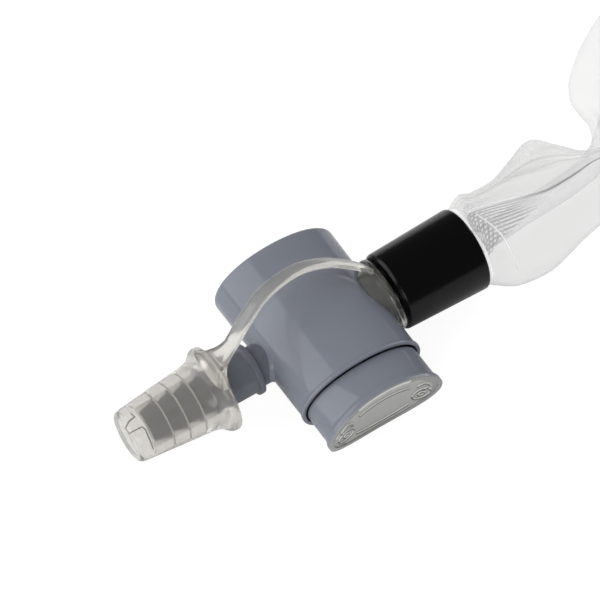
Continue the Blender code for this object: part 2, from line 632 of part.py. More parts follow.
def film_sections():
    """Sections of the film, from one collar to the other."""
    start = Vector((COLLAR_END + GAP, 0, 0))
    end = Vector((MANIFOLD_X + GAP, MANIFOLD_Y, MANIFOLD_AXIS_UP))
    sections = [oval_section(start, Vector((1, 0, 0)), SLEEVE_END_R, SLEEVE_END_R)]
    sections += [[Vector(place) * MM for place in fold] for fold in FOLDS]
    line = [Vector((x, y, height)) * MM for x, y, _, height, _, _ in ROUTE] + [end]
    for index in range(FOLDED_PLACES, len(ROUTE)):
        half_w, half_t = ROUTE[index][4:]
        sections.append(oval_section(line[index], tangent(line, index), half_w * MM, half_t * MM))
    sections.append(oval_section(end, Vector((-1, 0, 0)), SLEEVE_END_R, SLEEVE_END_R))
    return sections


def round_section(places):
    """More places on the smooth closed curve through a section's own."""
    wrapped = [places[-1], *places, *places[:2]]
    return [spline_point(wrapped, index + 1, part / SIDE_PARTS)
            for index in range(len(places)) for part in range(SIDE_PARTS)]


def film_sleeve(material, parent):
    """Thin flattened tube round the catheter, folded and pinched in its first bend."""
    columns = list(zip(*(round_section(places) for places in film_sections())))
    rings = []
    for index in range(len(columns[0]) - 1):
        for part in range(SLEEVE_PARTS):
            rings.append([spline_point(column, index, part / SLEEVE_PARTS) for column in columns])
    rings.append([column[-1] for column in columns])
    sides = len(columns)
    bm = bmesh.new()
    outer, inner = [], []
    for ring in rings:
        middle = sum(ring, Vector()) / sides
        outer.append([bm.verts.new(place) for place in ring])
        inner.append([bm.verts.new(place + (middle - place).normalized() * SLEEVE_WALL) for place in ring])
    for loops in (outer, inner):
        for first, second in zip(loops, loops[1:]):
            for step in range(sides):
                after = (step + 1) % sides
                bm.faces.new((first[step], first[after], second[after], second[step]))
    for end_index in (0, -1):
        for step in range(sides):
            after = (step + 1) % sides
            bm.faces.new((outer[end_index][step], outer[end_index][after],
                          inner[end_index][after], inner[end_index][step]))
    finish_mesh("film_sleeve", bm, material, parent)


def crossing(centre, along):
    """Where a port's axis crosses the manifold's, so far along the chamber from its start."""
    collar_end, _ = manifold_places()
    return Vector(centre) + Vector((collar_end - GAP - along, 0, 0))


def manifold_body(material, parent, centre):
    collar_end, chamber_end = manifold_places()
    chamber_start = collar_end - GAP
    tube_end = chamber_end - SWIVEL_SKIRT
    spigot_end = MANIFOLD_X - SOCKET_SPIGOT_BACK
    body = turned("manifold_body", [
        (tube_end, 0), (tube_end, SWIVEL_BORE_R), (chamber_end, SWIVEL_BORE_R),
        (chamber_end, CHAMBER_R), (chamber_start, CHAMBER_R), (chamber_start, SOCKET_SPIGOT_R),
        (spigot_end, SOCKET_SPIGOT_R), (spigot_end, 0)],
        "X", material, parent, closed=False, centre=centre)
    branch_end = CHAMBER_R + BRANCH_LEN
    branch = [(0, 0), (0, BRANCH_R), (branch_end, BRANCH_R), (branch_end, 0)]
    join(body, turned("branch_guide", branch, "Y", None, parent, closed=False,
                      centre=crossing(centre, BRANCH_X)))
    luer_end = CHAMBER_R + LUER_LEN
    luer = [(0, 0), (0, LUER_R), (luer_end, LUER_R), (luer_end, 0)]
    join(body, turned("luer_guide", luer, "Z", None, parent, closed=False,
                      centre=crossing(centre, LUER_X), segments=SMALL_SEGMENTS))
    inner_r = CHAMBER_R - CHAMBER_WALL
    hole = CATHETER_R + GAP
    seat = chamber_start - CHAMBER_END_WALL
    hollow = [(tube_end - PAST, 0), (tube_end - PAST, BRANCH_BORE_R), (chamber_end, BRANCH_BORE_R),
              (chamber_end, inner_r), (seat, inner_r), (seat, hole), (spigot_end + PAST, hole),
              (spigot_end + PAST, 0)]
    ways = turned("chamber_guide", hollow, "X", None, parent, closed=False, centre=centre)
    branch_bore = [(0, 0), (0, BRANCH_BORE_R), (branch_end + PAST, BRANCH_BORE_R), (branch_end + PAST, 0)]
    join(ways, turned("branch_bore_guide", branch_bore, "Y", None, parent, closed=False,
                      centre=crossing(centre, BRANCH_X)))
    luer_bore = [(0, 0), (0, LUER_BORE_R), (luer_end + PAST, LUER_BORE_R), (luer_end + PAST, 0)]
    join(ways, turned("luer_bore_guide", luer_bore, "Z", None, parent, closed=False,
                      centre=crossing(centre, LUER_X), segments=SMALL_SEGMENTS))
    cut(body, ways)


def wiper_and_retainer(rubber, material, parent, centre):
    """Silicone wiper disc inside the chamber and the ring that holds it against its seat."""
    collar_end, _ = manifold_places()
    start = collar_end - GAP - CHAMBER_END_WALL - GAP
    end = start - WIPER_THICK
    outer = CHAMBER_R - CHAMBER_WALL - GAP
    hole = CATHETER_R + GAP
    turned("wiper_seal", [(start, hole), (start, outer), (end, outer), (end, hole)],
           "X", rubber, parent, centre=centre)
    start = end - GAP
    end = start - RETAINER_THICK
    turned("seal_retainer", [
        (start, RETAINER_HOLE_R), (start, outer), (end, outer), (end, RETAINER_HOLE_R)],
        "X", material, parent, centre=centre)


def airway_swivel(material, parent, centre):
    _, chamber_end = manifold_places()
    start = chamber_end - GAP
    end = start - SWIVEL_LEN
    shoulder = chamber_end - SWIVEL_SKIRT - GAP
    turned("airway_swivel", [
        (start, SWIVEL_BORE_R + GAP), (start, SWIVEL_R), (end, SWIVEL_R), (end, SWIVEL_BORE_R),
        (shoulder - SWIVEL_SHOULDER, SWIVEL_BORE_R), (shoulder - SWIVEL_SHOULDER, BRANCH_BORE_R),
        (shoulder, BRANCH_BORE_R), (shoulder, SWIVEL_BORE_R + GAP)], "X", material, parent, centre=centre)


def circuit_swivel(material, parent, centre):
    branch_end = CHAMBER_R + BRANCH_LEN
    start = branch_end - CIRCUIT_SKIRT
    end = start + CIRCUIT_LEN
    step = branch_end + CIRCUIT_STEP
    turned("circuit_swivel", [
        (start, BRANCH_R + GAP), (start, CIRCUIT_R), (step, CIRCUIT_R),
        (step + CIRCUIT_STEP_LEN, BRANCH_R), (end, BRANCH_R), (end, BRANCH_BORE_R),
        (branch_end + GAP, BRANCH_BORE_R), (branch_end + GAP, BRANCH_R + GAP)],
        "Y", material, parent, centre=crossing(centre, BRANCH_X))


def irrigation_cap(material, parent, centre):
    luer_end = CHAMBER_R + LUER_LEN
    roof = luer_end + GAP
    top = roof + LUER_CAP_WALL
    base = top - LUER_CAP_LEN
    hole = LUER_R + GAP
    middle = crossing(centre, LUER_X)
    cap = turned("irrigation_cap", [(base, 0), (base, LUER_CAP_R), (top, LUER_CAP_R), (top, 0)],
                 "Z", material, parent, closed=False, centre=middle, segments=SMALL_SEGMENTS)
    bore = [(base - PAST, 0), (base - PAST, hole), (roof, hole), (roof, 0)]
    cut(cap, turned("luer_cap_guide", bore, "Z", None, parent, closed=False, centre=middle,
                    segments=SMALL_SEGMENTS))


def main():
    clear_scene()
    axes = bpy.data.objects.new("valve_axes", None)
    axes.location = (VALVE_X, VALVE_Y, AXIS_HEIGHT)
    bpy.context.collection.objects.link(axes)

    grey = make_material("grey_plastic", (0.19, 0.2, 0.235), 0.3)
    black = make_material("black_rubber", (0.006, 0.006, 0.007), 0.22)
    milky = make_material("milky_plastic", (0.6, 0.59, 0.54), 0.35, alpha=0.6)
    film = make_material("film", (0.85, 0.85, 0.84), 0.3, alpha=0.3)
    clear = make_material("clear_plastic", (0.8, 0.82, 0.83), 0.15, alpha=0.4)
    steel = make_material("spring_steel", (0.6, 0.6, 0.6), 0.25, metallic=1.0)
    silicone = make_material("silicone", (0.3, 0.3, 0.3), 0.6)
    tube = make_material("catheter_vinyl", (0.75, 0.76, 0.74), 0.3, alpha=0.7)

    valve_body(grey, axes)
    base_cap(grey, axes)
    bonnet_ring(grey, axes)
    valve_stem(grey, axes)
    stem_seals(silicone, axes)
    return_spring(steel, axes)
    thumb_button(grey, axes)
    port_cap(milky, axes)
    cap_strap(milky, axes)
    collar("sleeve_collar", COLLAR_START, COLLAR_END, COLLAR_R_START, COLLAR_R_END, SPIGOT_R + GAP,
           black, axes)
    catheter_bush(grey, axes)
    catheter_tube(tube, axes)
    film_sleeve(film, axes)

    centre = (0, MANIFOLD_Y, MANIFOLD_AXIS_UP)
    collar_end, _ = manifold_places()
    collar("manifold_collar", MANIFOLD_X, collar_end, COLLAR_R_END, COLLAR_R_END, SOCKET_SPIGOT_R + GAP,
           black, axes, centre)
    manifold_body(clear, axes, centre)
    wiper_and_retainer(silicone, clear, axes, centre)
    airway_swivel(clear, axes, centre)
    circuit_swivel(clear, axes, centre)
    irrigation_cap(milky, axes, centre)


if __name__ == "__main__":
    main()
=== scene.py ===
"""Closed suction catheter for a clinic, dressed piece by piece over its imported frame."""
import math

import bmesh
import bpy
from bpy.props import FloatProperty, FloatVectorProperty, IntProperty, PointerProperty
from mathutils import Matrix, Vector, noise
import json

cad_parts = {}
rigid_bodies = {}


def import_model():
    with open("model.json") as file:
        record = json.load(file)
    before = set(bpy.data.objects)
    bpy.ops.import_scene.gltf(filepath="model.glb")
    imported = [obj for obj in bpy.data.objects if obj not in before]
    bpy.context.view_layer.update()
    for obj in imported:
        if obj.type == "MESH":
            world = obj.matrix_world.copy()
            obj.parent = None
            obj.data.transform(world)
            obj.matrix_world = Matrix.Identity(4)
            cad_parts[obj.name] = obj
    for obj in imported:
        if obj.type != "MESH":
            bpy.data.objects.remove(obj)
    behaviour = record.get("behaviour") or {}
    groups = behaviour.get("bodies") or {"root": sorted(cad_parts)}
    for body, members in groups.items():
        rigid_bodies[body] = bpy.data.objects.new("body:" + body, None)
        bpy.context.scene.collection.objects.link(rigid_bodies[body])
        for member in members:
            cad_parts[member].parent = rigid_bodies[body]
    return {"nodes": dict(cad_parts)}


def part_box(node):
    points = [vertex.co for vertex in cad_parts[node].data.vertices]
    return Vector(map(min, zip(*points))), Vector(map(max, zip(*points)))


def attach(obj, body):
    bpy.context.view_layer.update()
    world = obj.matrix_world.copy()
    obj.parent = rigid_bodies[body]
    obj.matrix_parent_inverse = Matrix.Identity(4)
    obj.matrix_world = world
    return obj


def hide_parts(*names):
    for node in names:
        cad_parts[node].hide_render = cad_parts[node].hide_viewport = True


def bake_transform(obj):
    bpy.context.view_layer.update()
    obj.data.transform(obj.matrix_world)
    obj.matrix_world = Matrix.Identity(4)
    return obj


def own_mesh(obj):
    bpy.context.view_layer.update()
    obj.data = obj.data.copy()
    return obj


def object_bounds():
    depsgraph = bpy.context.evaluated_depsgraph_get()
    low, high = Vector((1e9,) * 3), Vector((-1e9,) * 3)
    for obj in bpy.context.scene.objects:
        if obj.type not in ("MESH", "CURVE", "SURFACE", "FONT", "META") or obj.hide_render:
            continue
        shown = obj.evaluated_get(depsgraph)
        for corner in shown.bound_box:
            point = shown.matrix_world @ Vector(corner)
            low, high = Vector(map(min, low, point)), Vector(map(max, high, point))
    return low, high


bl_info = {
    "name": "Closed Suction Catheter",
    "version": (1, 0, 0),
    "blender": (4, 5, 0),
    "location": "View3D > Sidebar > Catheter",
    "description": "Builds a closed suction catheter piece by piece over its frame",
    "category": "Add Mesh",
}

MM = 0.001
PORT_LENGTH = 37.5                  # vacuum port's end, from the hub, in millimetres
BARREL_BACK = 16.5                  # closed end of the barrel, from the hub, in millimetres
OVAL = 2.1                          # power of the valve's ovals: 2 is round and more is squarer

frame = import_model()
CAD_LOW, CAD_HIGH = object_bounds()
BODY_LOW, BODY_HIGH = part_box("valve_body")
# The hub is where the port's axis and the push stem's axis cross
HUB = Vector((BODY_LOW.x + PORT_LENGTH * MM, BODY_HIGH.y - BARREL_BACK * MM,
              (BODY_LOW.z + BODY_HIGH.z) / 2))
ALONG = {"X": Vector((1, 0, 0)), "Y": Vector((0, 1, 0)), "Z": Vector((0, 0, 1))}
FACING = {"X": (0, math.radians(90), 0), "Y": (math.radians(90), 0, 0), "Z": (0, 0, 0)}


class CatheterSizes(bpy.types.PropertyGroup):
    """Sizes of the pieces, in millimetres"""
    barrel_half_width: FloatProperty(
        name="Barrel half width", description="Half of the oval barrel, along the port", default=12.5)
    barrel_half_height: FloatProperty(
        name="Barrel half height", description="Half of the oval barrel, upwards", default=8.1)
    barrel_flare: FloatProperty(
        name="Barrel flare", description="How much wider the closed end is", default=0.5)
    barrel_back: FloatProperty(
        name="Barrel back", description="Closed end of the barrel, from the hub", default=BARREL_BACK)
    barrel_front: FloatProperty(
        name="Barrel front", description="Button end of the barrel, from the hub", default=14.0)
    bore_radius: FloatProperty(
        name="Bore radius", description="Bore of the push stem", default=5.4)
    face_half_width: FloatProperty(
        name="Face half width", description="Half of the thumb face, along the port", default=12.15)
    face_half_height: FloatProperty(
        name="Face half height", description="Half of the thumb face, upwards", default=7.6)
    face_tip: FloatProperty(
        name="Face tips", description="Tips of the thumb face, from the hub", default=22.2)
    face_dish: FloatProperty(name="Face dish", description="Depth of the thumb hollow", default=1.6)
    face_lean: FloatProperty(
        name="Face lean", description="How far the face leans back", default=0.9)
    port_length: FloatProperty(
        name="Port length", description="End of the port, from the hub", default=PORT_LENGTH)
    cap_face: FloatProperty(
        name="Cap face", description="Flange of the port cap, from the hub", default=22.0)
    catheter_radius: FloatProperty(name="Catheter radius", description="14 French tubing", default=2.35)
    sleeve_end: FloatProperty(
        name="Sleeve end radius", description="Where the film leaves a collar", default=7.9)
    segments: IntProperty(name="Segments", description="Faces round a turned piece", default=96)


class CatheterColours(bpy.types.PropertyGroup):
    """Colours of the finishes"""
    grey: FloatVectorProperty(
        name="Grey plastic", description="Valve body and button", subtype="COLOR", size=3,
        default=(0.18, 0.194, 0.228))
    face: FloatVectorProperty(
        name="Thumb face", description="Matt front of the button", subtype="COLOR", size=3,
        default=(0.34, 0.342, 0.325))
    black: FloatVectorProperty(
        name="Collar black", description="Collars of the sleeve", subtype="COLOR", size=3,
        default=(0.0015, 0.0015, 0.002))
    milky: FloatVectorProperty(
        name="Milky plastic", description="Port cap and tether", subtype="COLOR", size=3,
        default=(0.68, 0.665, 0.63))
    film: FloatVectorProperty(
        name="Film", description="Sleeve film", subtype="COLOR", size=3, default=(0.7, 0.7, 0.69))
    clear: FloatVectorProperty(
        name="Clear plastic", description="Manifold and swivels", subtype="COLOR", size=3,
        default=(0.9, 0.93, 0.95))


def sizes():
    return bpy.context.scene.catheter_sizes


def colours():
    return bpy.context.scene.catheter_colours


def at(place):
    """A place that is given from the hub, in millimetres, in the scene."""
    return HUB + Vector(place) * MM


def deselect():
    for item in bpy.context.view_layer.objects:
        item.select_set(False)


def activate(item):
    deselect()
    item.hide_viewport = False
    item.select_set(True)
    bpy.context.view_layer.objects.active = item


def close_up(item, finish, smooth_angle=32):
    """Merge doubles, turn faces outwards, give the finish and shade."""
    activate(item)
    bpy.ops.object.mode_set(mode="EDIT")
    bpy.ops.mesh.select_all(action="SELECT")
    bpy.ops.mesh.remove_doubles(threshold=1e-6)
    bpy.ops.mesh.normals_make_consistent(inside=False)
    bpy.ops.object.mode_set(mode="OBJECT")
    item.data.materials.clear()
    item.data.materials.append(material(finish))
    bpy.ops.object.shade_smooth_by_angle(angle=math.radians(smooth_angle))
    return item


def ring_walk(name, axis, centre, stations, segments, power=2.0):
    """Extrude a ring from station to station: (place, half size, other half size), in millimetres.

    A power of 2 leaves the ring round; more makes it squarer."""
    along = ALONG[axis]
    place, wide, high = stations[0]
    deselect()
    bpy.ops.mesh.primitive_circle_add(vertices=segments, radius=MM, fill_type="NOTHING",
                                      location=centre + along * place * MM, rotation=FACING[axis])
    item = bpy.context.object
    item.name = name
    item.data.name = name
    for vertex in item.data.vertices:
        across, up = vertex.co.x / MM, vertex.co.y / MM
        vertex.co *= (abs(across) ** power + abs(up) ** power) ** (-1 / power)
    bpy.ops.object.transform_apply(location=True, rotation=True, scale=True)
    bpy.ops.object.mode_set(mode="EDIT")
    bpy.ops.mesh.select_all(action="SELECT")
    was = (1, 1)
    before = place
    for number, (place, wide, high) in enumerate(stations):
        if number:
            step = along * (place - before) * MM
            bpy.ops.mesh.extrude_region_move(TRANSFORM_OT_translate={"value": step})
        across, up = wide / was[0], high / was[1]
        scale = {"X": (1, up, across), "Y": (across, 1, up), "Z": (across, up, 1)}[axis]
        bpy.ops.transform.resize(value=scale, center_override=centre + along * place * MM)
        was = (wide, high)
        before = place
    bpy.ops.object.mode_set(mode="OBJECT")
    return item


def rounded(*corners, steps=4):
    """Profile through corners of (place, radius, rounding), each rounding as a short curve."""
    profile = []
    for index, (place, radius, rounding) in enumerate(corners):
        here = Vector((place, radius))
        if not rounding:
            profile.append(here)
            continue
        before = Vector(corners[index - 1][:2]) - here
        after = Vector(corners[(index + 1) % len(corners)][:2]) - here
        start = here + before.normalized() * rounding
        end = here + after.normalized() * rounding
        for step in range(steps + 1):
            share = step / steps
            profile.append(start.lerp(here, share).lerp(here.lerp(end, share), share))
    return profile


def turned(name, axis, profile, finish, centre=HUB, closed=False):
    """Turn a profile of (place along the axis, radius); closed joins its two ends into a ring."""
    stations = [(place, radius, radius) for place, radius in profile]
    if closed:
        stations.append(stations[0])
    item = ring_walk(name, axis, centre, stations, sizes().segments)
    if not closed:
        fill_holes(item)
    return close_up(item, finish)


def fill_holes(item):
    activate(item)
    bpy.ops.object.mode_set(mode="EDIT")
    bpy.ops.mesh.select_all(action="SELECT")
    bpy.ops.mesh.fill_holes(sides=0)
    bpy.ops.object.mode_set(mode="OBJECT")


def merge(item, *others):
    deselect()
    for other in others:
        other.select_set(True)
    item.select_set(True)
    bpy.context.view_layer.objects.active = item
    bpy.ops.object.join()
    return item


def give(item, body, slot, *nodes):
    """Let a finished piece ride and stand for its CAD nodes; its slot is not used."""
    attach(item, body)
    if nodes:
        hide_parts(*nodes)
    return item


def new_mesh(name, bm):
    mesh = bpy.data.meshes.new(name)
    bm.to_mesh(mesh)
    bm.free()
    item = bpy.data.objects.new(name, mesh)
    bpy.context.collection.objects.link(item)
    return item


def spline_point(points, index, share):
    """A place on the smooth curve through the points, so far from one to the next."""
    start, end = points[index], points[index + 1]
    before = points[index - 1] if index else start * 2 - end
    after = points[index + 2] if index + 2 < len(points) else end * 2 - start
    return 0.5 * (2 * start + (end - before) * share
                  + (2 * before - 5 * start + 4 * end - after) * share ** 2
                  + (3 * start - before - 3 * end + after) * share ** 3)


def smooth_route(points, step):
    """Even points on a smooth curve through the given ones."""
    fine = [spline_point(points, index, part / 40)
            for index in range(len(points) - 1) for part in range(40)]
    fine.append(points[-1])
    lengths = [0.0]
    for here, there in zip(fine, fine[1:]):
        lengths.append(lengths[-1] + (there - here).length)
    count = max(2, round(lengths[-1] / step))
    even = []
    index = 0
    for number in range(count + 1):
        wanted = lengths[-1] * number / count
        while index < len(fine) - 2 and lengths[index + 1] < wanted:
            index += 1
        span = lengths[index + 1] - lengths[index]
        even.append(fine[index].lerp(fine[index + 1], (wanted - lengths[index]) / span))
    return even


def tangent(points, index):
    ahead = points[min(index + 1, len(points) - 1)]
    behind = points[max(index - 1, 0)]
    return (ahead - behind).normalized()


def principled(name, colour, roughness, **inputs):
    """A Principled material; returns it with its nodes, links and shader."""
    made = bpy.data.materials.new(name)
    made.use_nodes = True
    shader = made.node_tree.nodes["Principled BSDF"]
    shader.inputs["Base Color"].default_value = (*colour, 1)
    shader.inputs["Roughness"].default_value = roughness
    for socket, value in inputs.items():
        shader.inputs[socket.replace("_", " ")].default_value = value
    return made, made.node_tree.nodes, made.node_tree.links, shader


def object_noise(nodes, links, scale, detail=3):
    place = nodes.new("ShaderNodeTexCoord")
    texture = nodes.new("ShaderNodeTexNoise")
    texture.inputs["Scale"].default_value = scale
    texture.inputs["Detail"].default_value = detail
    links.new(place.outputs["Object"], texture.inputs["Vector"])
    return texture


def ranged(nodes, links, source, low, high):
    """Spread a value from 0.3 and 0.7 over low to high."""
    spread = nodes.new("ShaderNodeMapRange")
    spread.inputs["From Min"].default_value = 0.3
    spread.inputs["From Max"].default_value = 0.7
    spread.inputs["To Min"].default_value = low
    spread.inputs["To Max"].default_value = high
    links.new(source, spread.inputs["Value"])
    return spread.outputs["Result"]


def bumped(nodes, links, shader, height, strength, distance):
    bump = nodes.new("ShaderNodeBump")
    bump.inputs["Strength"].default_value = strength
    bump.inputs["Distance"].default_value = distance
    links.new(height, bump.inputs["Height"])
    links.new(bump.outputs["Normal"], shader.inputs["Normal"])


def moulded(name, colour, low, high, strength=0.08, **inputs):
    """Moulded plastic: gloss that varies a little and a faint ripple."""
    made, nodes, links, shader = principled(name, colour, low, **inputs)
    fine = object_noise(nodes, links, 900)
    links.new(ranged(nodes, links, fine.outputs["Fac"], low, high), shader.inputs["Roughness"])
    broad = object_noise(nodes, links, 120, 1)
    bumped(nodes, links, shader, broad.outputs["Fac"], strength, 0.02 * MM)
    return made


MATERIALS = {}
PORT_PAINTED_SHADE = 0.62                   # of the grey: painted shade, which darkens the port for the shadow under the strap


def material(name):
    """Each finish is made once, when it is first asked for."""
    if name not in MATERIALS:
        MATERIALS[name] = {
            "grey": lambda: moulded("grey_plastic", colours().grey, 0.07, 0.11, Specular_IOR_Level=0.26),
            # painted shade: the port's grey, darkened for the shadow under the strap
            "port": lambda: moulded("grey_port_painted_shade", [PORT_PAINTED_SHADE * part for part in colours().grey], 0.07, 0.11,
                                    Specular_IOR_Level=0.26),
            "face": lambda: moulded("grey_face", colours().face, 0.34, 0.42),
            # painted shade: a darker grey round the rim of the thumb face
            "rim": lambda: moulded("grey_rim_painted_shade", (0.25, 0.253, 0.25), 0.2, 0.28, Specular_IOR_Level=0.3),
            # painted highlight: on the lit upper edge of the thumb face and along the top of each mark
            "edge": lambda: moulded("grey_painted_highlight", (0.56, 0.56, 0.55), 0.3, 0.36),
            # painted shadow: the dark bead below each mark on the thumb face
            "mark": lambda: moulded("mark_painted_shadow", (0.07, 0.07, 0.068), 0.4, 0.5),
            "black": lambda: moulded("collar_black", colours().black, 0.16, 0.22, Specular_IOR_Level=0.2),
            "milky": milky_material,
            "film": film_material,
            "clear": lambda: moulded("clear_plastic", colours().clear, 0.05, 0.09, 0.04,
                                     Transmission_Weight=0.95, IOR=1.5),
            "silicone": lambda: moulded("silicone", (0.3, 0.31, 0.33), 0.4, 0.5),
            "steel": lambda: moulded("spring_steel", (0.62, 0.62, 0.63), 0.2, 0.32, Metallic=1.0),
            "ring": lambda: moulded("milky_ring", (0.55, 0.55, 0.52), 0.08, 0.12, 0.05,
                                    Transmission_Weight=0.97, IOR=1.4),
            # painted shade: the milky sleeve coloured nearly black in the gap beside the ring
            "sleeve": lambda: moulded("milky_sleeve_painted_shade", (0.1, 0.1, 0.095), 0.1, 0.16),
            "rib": lambda: moulded("milky_rib", (0.5, 0.49, 0.47), 0.3, 0.4),
            # painted shade: dark bead along the moulded step in the cap's tip
            "core": lambda: moulded("milky_core_painted_shade", (0.16, 0.155, 0.145), 0.3, 0.4),
            "vinyl": vinyl_material,
        }[name]()
    return MATERIALS[name]


def milky_material():
    return moulded("milky_plastic", colours().milky, 0.13, 0.18, 0.06, Transmission_Weight=0.88, IOR=1.4)


def vinyl_material():
    """Soft clear tubing, which shows mostly at its edges."""
    made, nodes, links, shader = principled("catheter_vinyl", (0.78, 0.79, 0.8), 0.22, IOR=1.45)
    edge = nodes.new("ShaderNodeLayerWeight")
    cover = nodes.new("ShaderNodeMapRange")
    cover.inputs["To Min"].default_value = 0.05
    cover.inputs["To Max"].default_value = 0.4
    links.new(edge.outputs["Facing"], cover.inputs["Value"])
    links.new(cover.outputs["Result"], shader.inputs["Alpha"])
    return made


class MapDrawing:
    """Sums on a material's nodes, by which lines and patches are drawn on a piece's own map."""

    def __init__(self, nodes, links):
        self.nodes = nodes
        self.links = links

    def calc(self, operation, *values):
        node = self.nodes.new("ShaderNodeMath")
        node.operation = operation
        for socket, value in zip(node.inputs, values):
            if isinstance(value, (int, float)):
                socket.default_value = value
            else:
                self.links.new(value, socket)
        return node.outputs["Value"]

    def ramp(self, value, start, end, low=0.0, high=1.0):
        node = self.nodes.new("ShaderNodeMapRange")
        node.inputs["From Min"].default_value = start
        node.inputs["From Max"].default_value = end
        node.inputs["To Min"].default_value = low
        node.inputs["To Max"].default_value = high
        self.links.new(value, node.inputs["Value"])
        return node.outputs["Result"]

    def near(self, value, centre, reach):
        """1 at the centre, down to 0 at the reach on both sides of it."""
        return self.ramp(self.calc("ABSOLUTE", self.calc("SUBTRACT", value, centre)), 0, reach, 1, 0)

    def both(self, *values):
        """Where all the values are."""
        product = values[0]
        for value in values[1:]:
            product = self.calc("MULTIPLY", product, value)
        return product

    def either(self, *values):
        """Where any of the values is."""
        most = values[0]
        for value in values[1:]:
            most = self.calc("MAXIMUM", most, value)
        return most


# The film's map runs round the tube, one unit from place to place of a section, and along it in
# millimetres. These are places round it.
# Painted shade lies along one crease and the thin edges, and painted highlight along the other crease and
# the seam
PAINTED_SHADE_CREASE = 2.0
PAINTED_HIGHLIGHT_CREASE = 4.0
THIN_EDGES = (3.78, 4.22)
SEAM = 2.14
PLEATED = (0.72, 2.02)              # band of pleats and gathers; its first edge slants
PLEAT_SLANT = 0.035
# These are places along it
FOLDS_FADE = (46, 38)               # where the folds end, and where they are full
PLEATS_FADE = (21, 13)
GATHERS_FADE = (10, 5)
CUFF_FADE = (0.8, 0.5)
TURN_UP = 7.0


def painted_shade_lines(draw, around, along, folded):
    """Painted shade on the shaded crease and thin edges of the folds, and on the pleats and gathers by the
    collar.
    """
    edges = draw.either(*(draw.near(around, place, 0.07) for place in THIN_EDGES))
    crease = draw.both(draw.near(around, PAINTED_SHADE_CREASE, 0.12), draw.ramp(along, 8, 24, 0.25, 1.0))
    first, last = PLEATED
    slanted = draw.calc("SUBTRACT", around, draw.calc("MULTIPLY", along, PLEAT_SLANT))
    band = draw.both(draw.ramp(slanted, first, first + 0.08), draw.ramp(around, last, last - 0.05))
    waves = draw.calc("SINE", draw.calc("MULTIPLY", around, 62))
    pleats = draw.both(band, draw.ramp(along, *PLEATS_FADE), draw.ramp(waves, -1, 1))
    crossed = draw.calc("SINE", draw.calc("ADD", draw.calc("MULTIPLY", around, 38),
                                          draw.calc("MULTIPLY", along, -5)))
    gathers = draw.both(band, draw.ramp(along, *GATHERS_FADE), draw.ramp(crossed, -1, 1))
    return draw.either(draw.both(folded, draw.either(crease, draw.calc("MULTIPLY", edges, 0.4))),
                       draw.calc("MULTIPLY", draw.either(pleats, gathers), 0.8))


def painted_highlight_lines(draw, around, along, folded):
    """Painted highlights on the lit crease, the turned-up edge and the cuff under the collar, and a light
    line along the seam.
    """
    crease = draw.both(draw.near(around, PAINTED_HIGHLIGHT_CREASE, 0.2), draw.ramp(along, 4, 10), folded)
    seam = draw.both(draw.near(around, SEAM, 0.08), draw.ramp(along, 24, 16))
    slanted = draw.calc("ADD", along, draw.calc("MULTIPLY", around, 0.8))
    turn_up = draw.both(draw.near(slanted, TURN_UP, 0.35), draw.ramp(around, 0.3, 0.8),
                        draw.ramp(around, 2.0, 1.8))
    return draw.either(draw.ramp(along, *CUFF_FADE), crease, turn_up, seam)


def film_cover(draw, around, along, folded, dark, light):
    """How much the film hides: more where it lies double, at a glancing angle and on its painted shade and
    highlight lines.
    """
    doubled = draw.both(folded, draw.ramp(around, 1.95, 2.05), draw.ramp(around, 3.85, 3.75),
                        draw.ramp(along, 2, 14))
    edge = draw.nodes.new("ShaderNodeLayerWeight")
    grazing = draw.calc("POWER", edge.outputs["Facing"], 3)
    cover = 0.2
    for value, share in ((folded, 0.08), (doubled, 0.1), (grazing, 0.4), (dark, 0.5), (light, 0.5)):
        cover = draw.calc("ADD", cover, draw.calc("MULTIPLY", value, share))
    return draw.calc("MINIMUM", cover, 1.0)


def film_material():
    """Clear film with its first folds and pleats drawn on the film's own map as painted shade and painted
    highlights.
    """
    made, nodes, links, shader = principled("sleeve_film", colours().film, 0.2, IOR=1.45)
    draw = MapDrawing(nodes, links)
    place = nodes.new("ShaderNodeTexCoord")
    split = nodes.new("ShaderNodeSeparateXYZ")
    links.new(place.outputs["UV"], split.inputs["Vector"])
    around, along = split.outputs["X"], split.outputs["Y"]
    folded = draw.ramp(along, *FOLDS_FADE)
    dark = painted_shade_lines(draw, around, along, folded)
    light = painted_highlight_lines(draw, around, along, folded)
    links.new(film_cover(draw, around, along, folded, dark, light), shader.inputs["Alpha"])
    # dark carries the painted shade, which turns the film's colour near black; light carries the painted
    # highlight, which turns it white
    shaded = nodes.new("ShaderNodeMixRGB")
    shaded.inputs["Color1"].default_value = (*colours().film, 1)
    shaded.inputs["Color2"].default_value = (0.13, 0.135, 0.14, 1)
    links.new(dark, shaded.inputs["Fac"])
    lit = nodes.new("ShaderNodeMixRGB")
    lit.inputs["Color2"].default_value = (1.0, 1.0, 1.0, 1)
    links.new(shaded.outputs["Color"], lit.inputs["Color1"])
    links.new(light, lit.inputs["Fac"])
    links.new(lit.outputs["Color"], shader.inputs["Base Color"])
    crumple = object_noise(nodes, links, 90, 4)
    bumped(nodes, links, shader, crumple.outputs["Fac"], 0.35, 0.8 * MM)
    return made


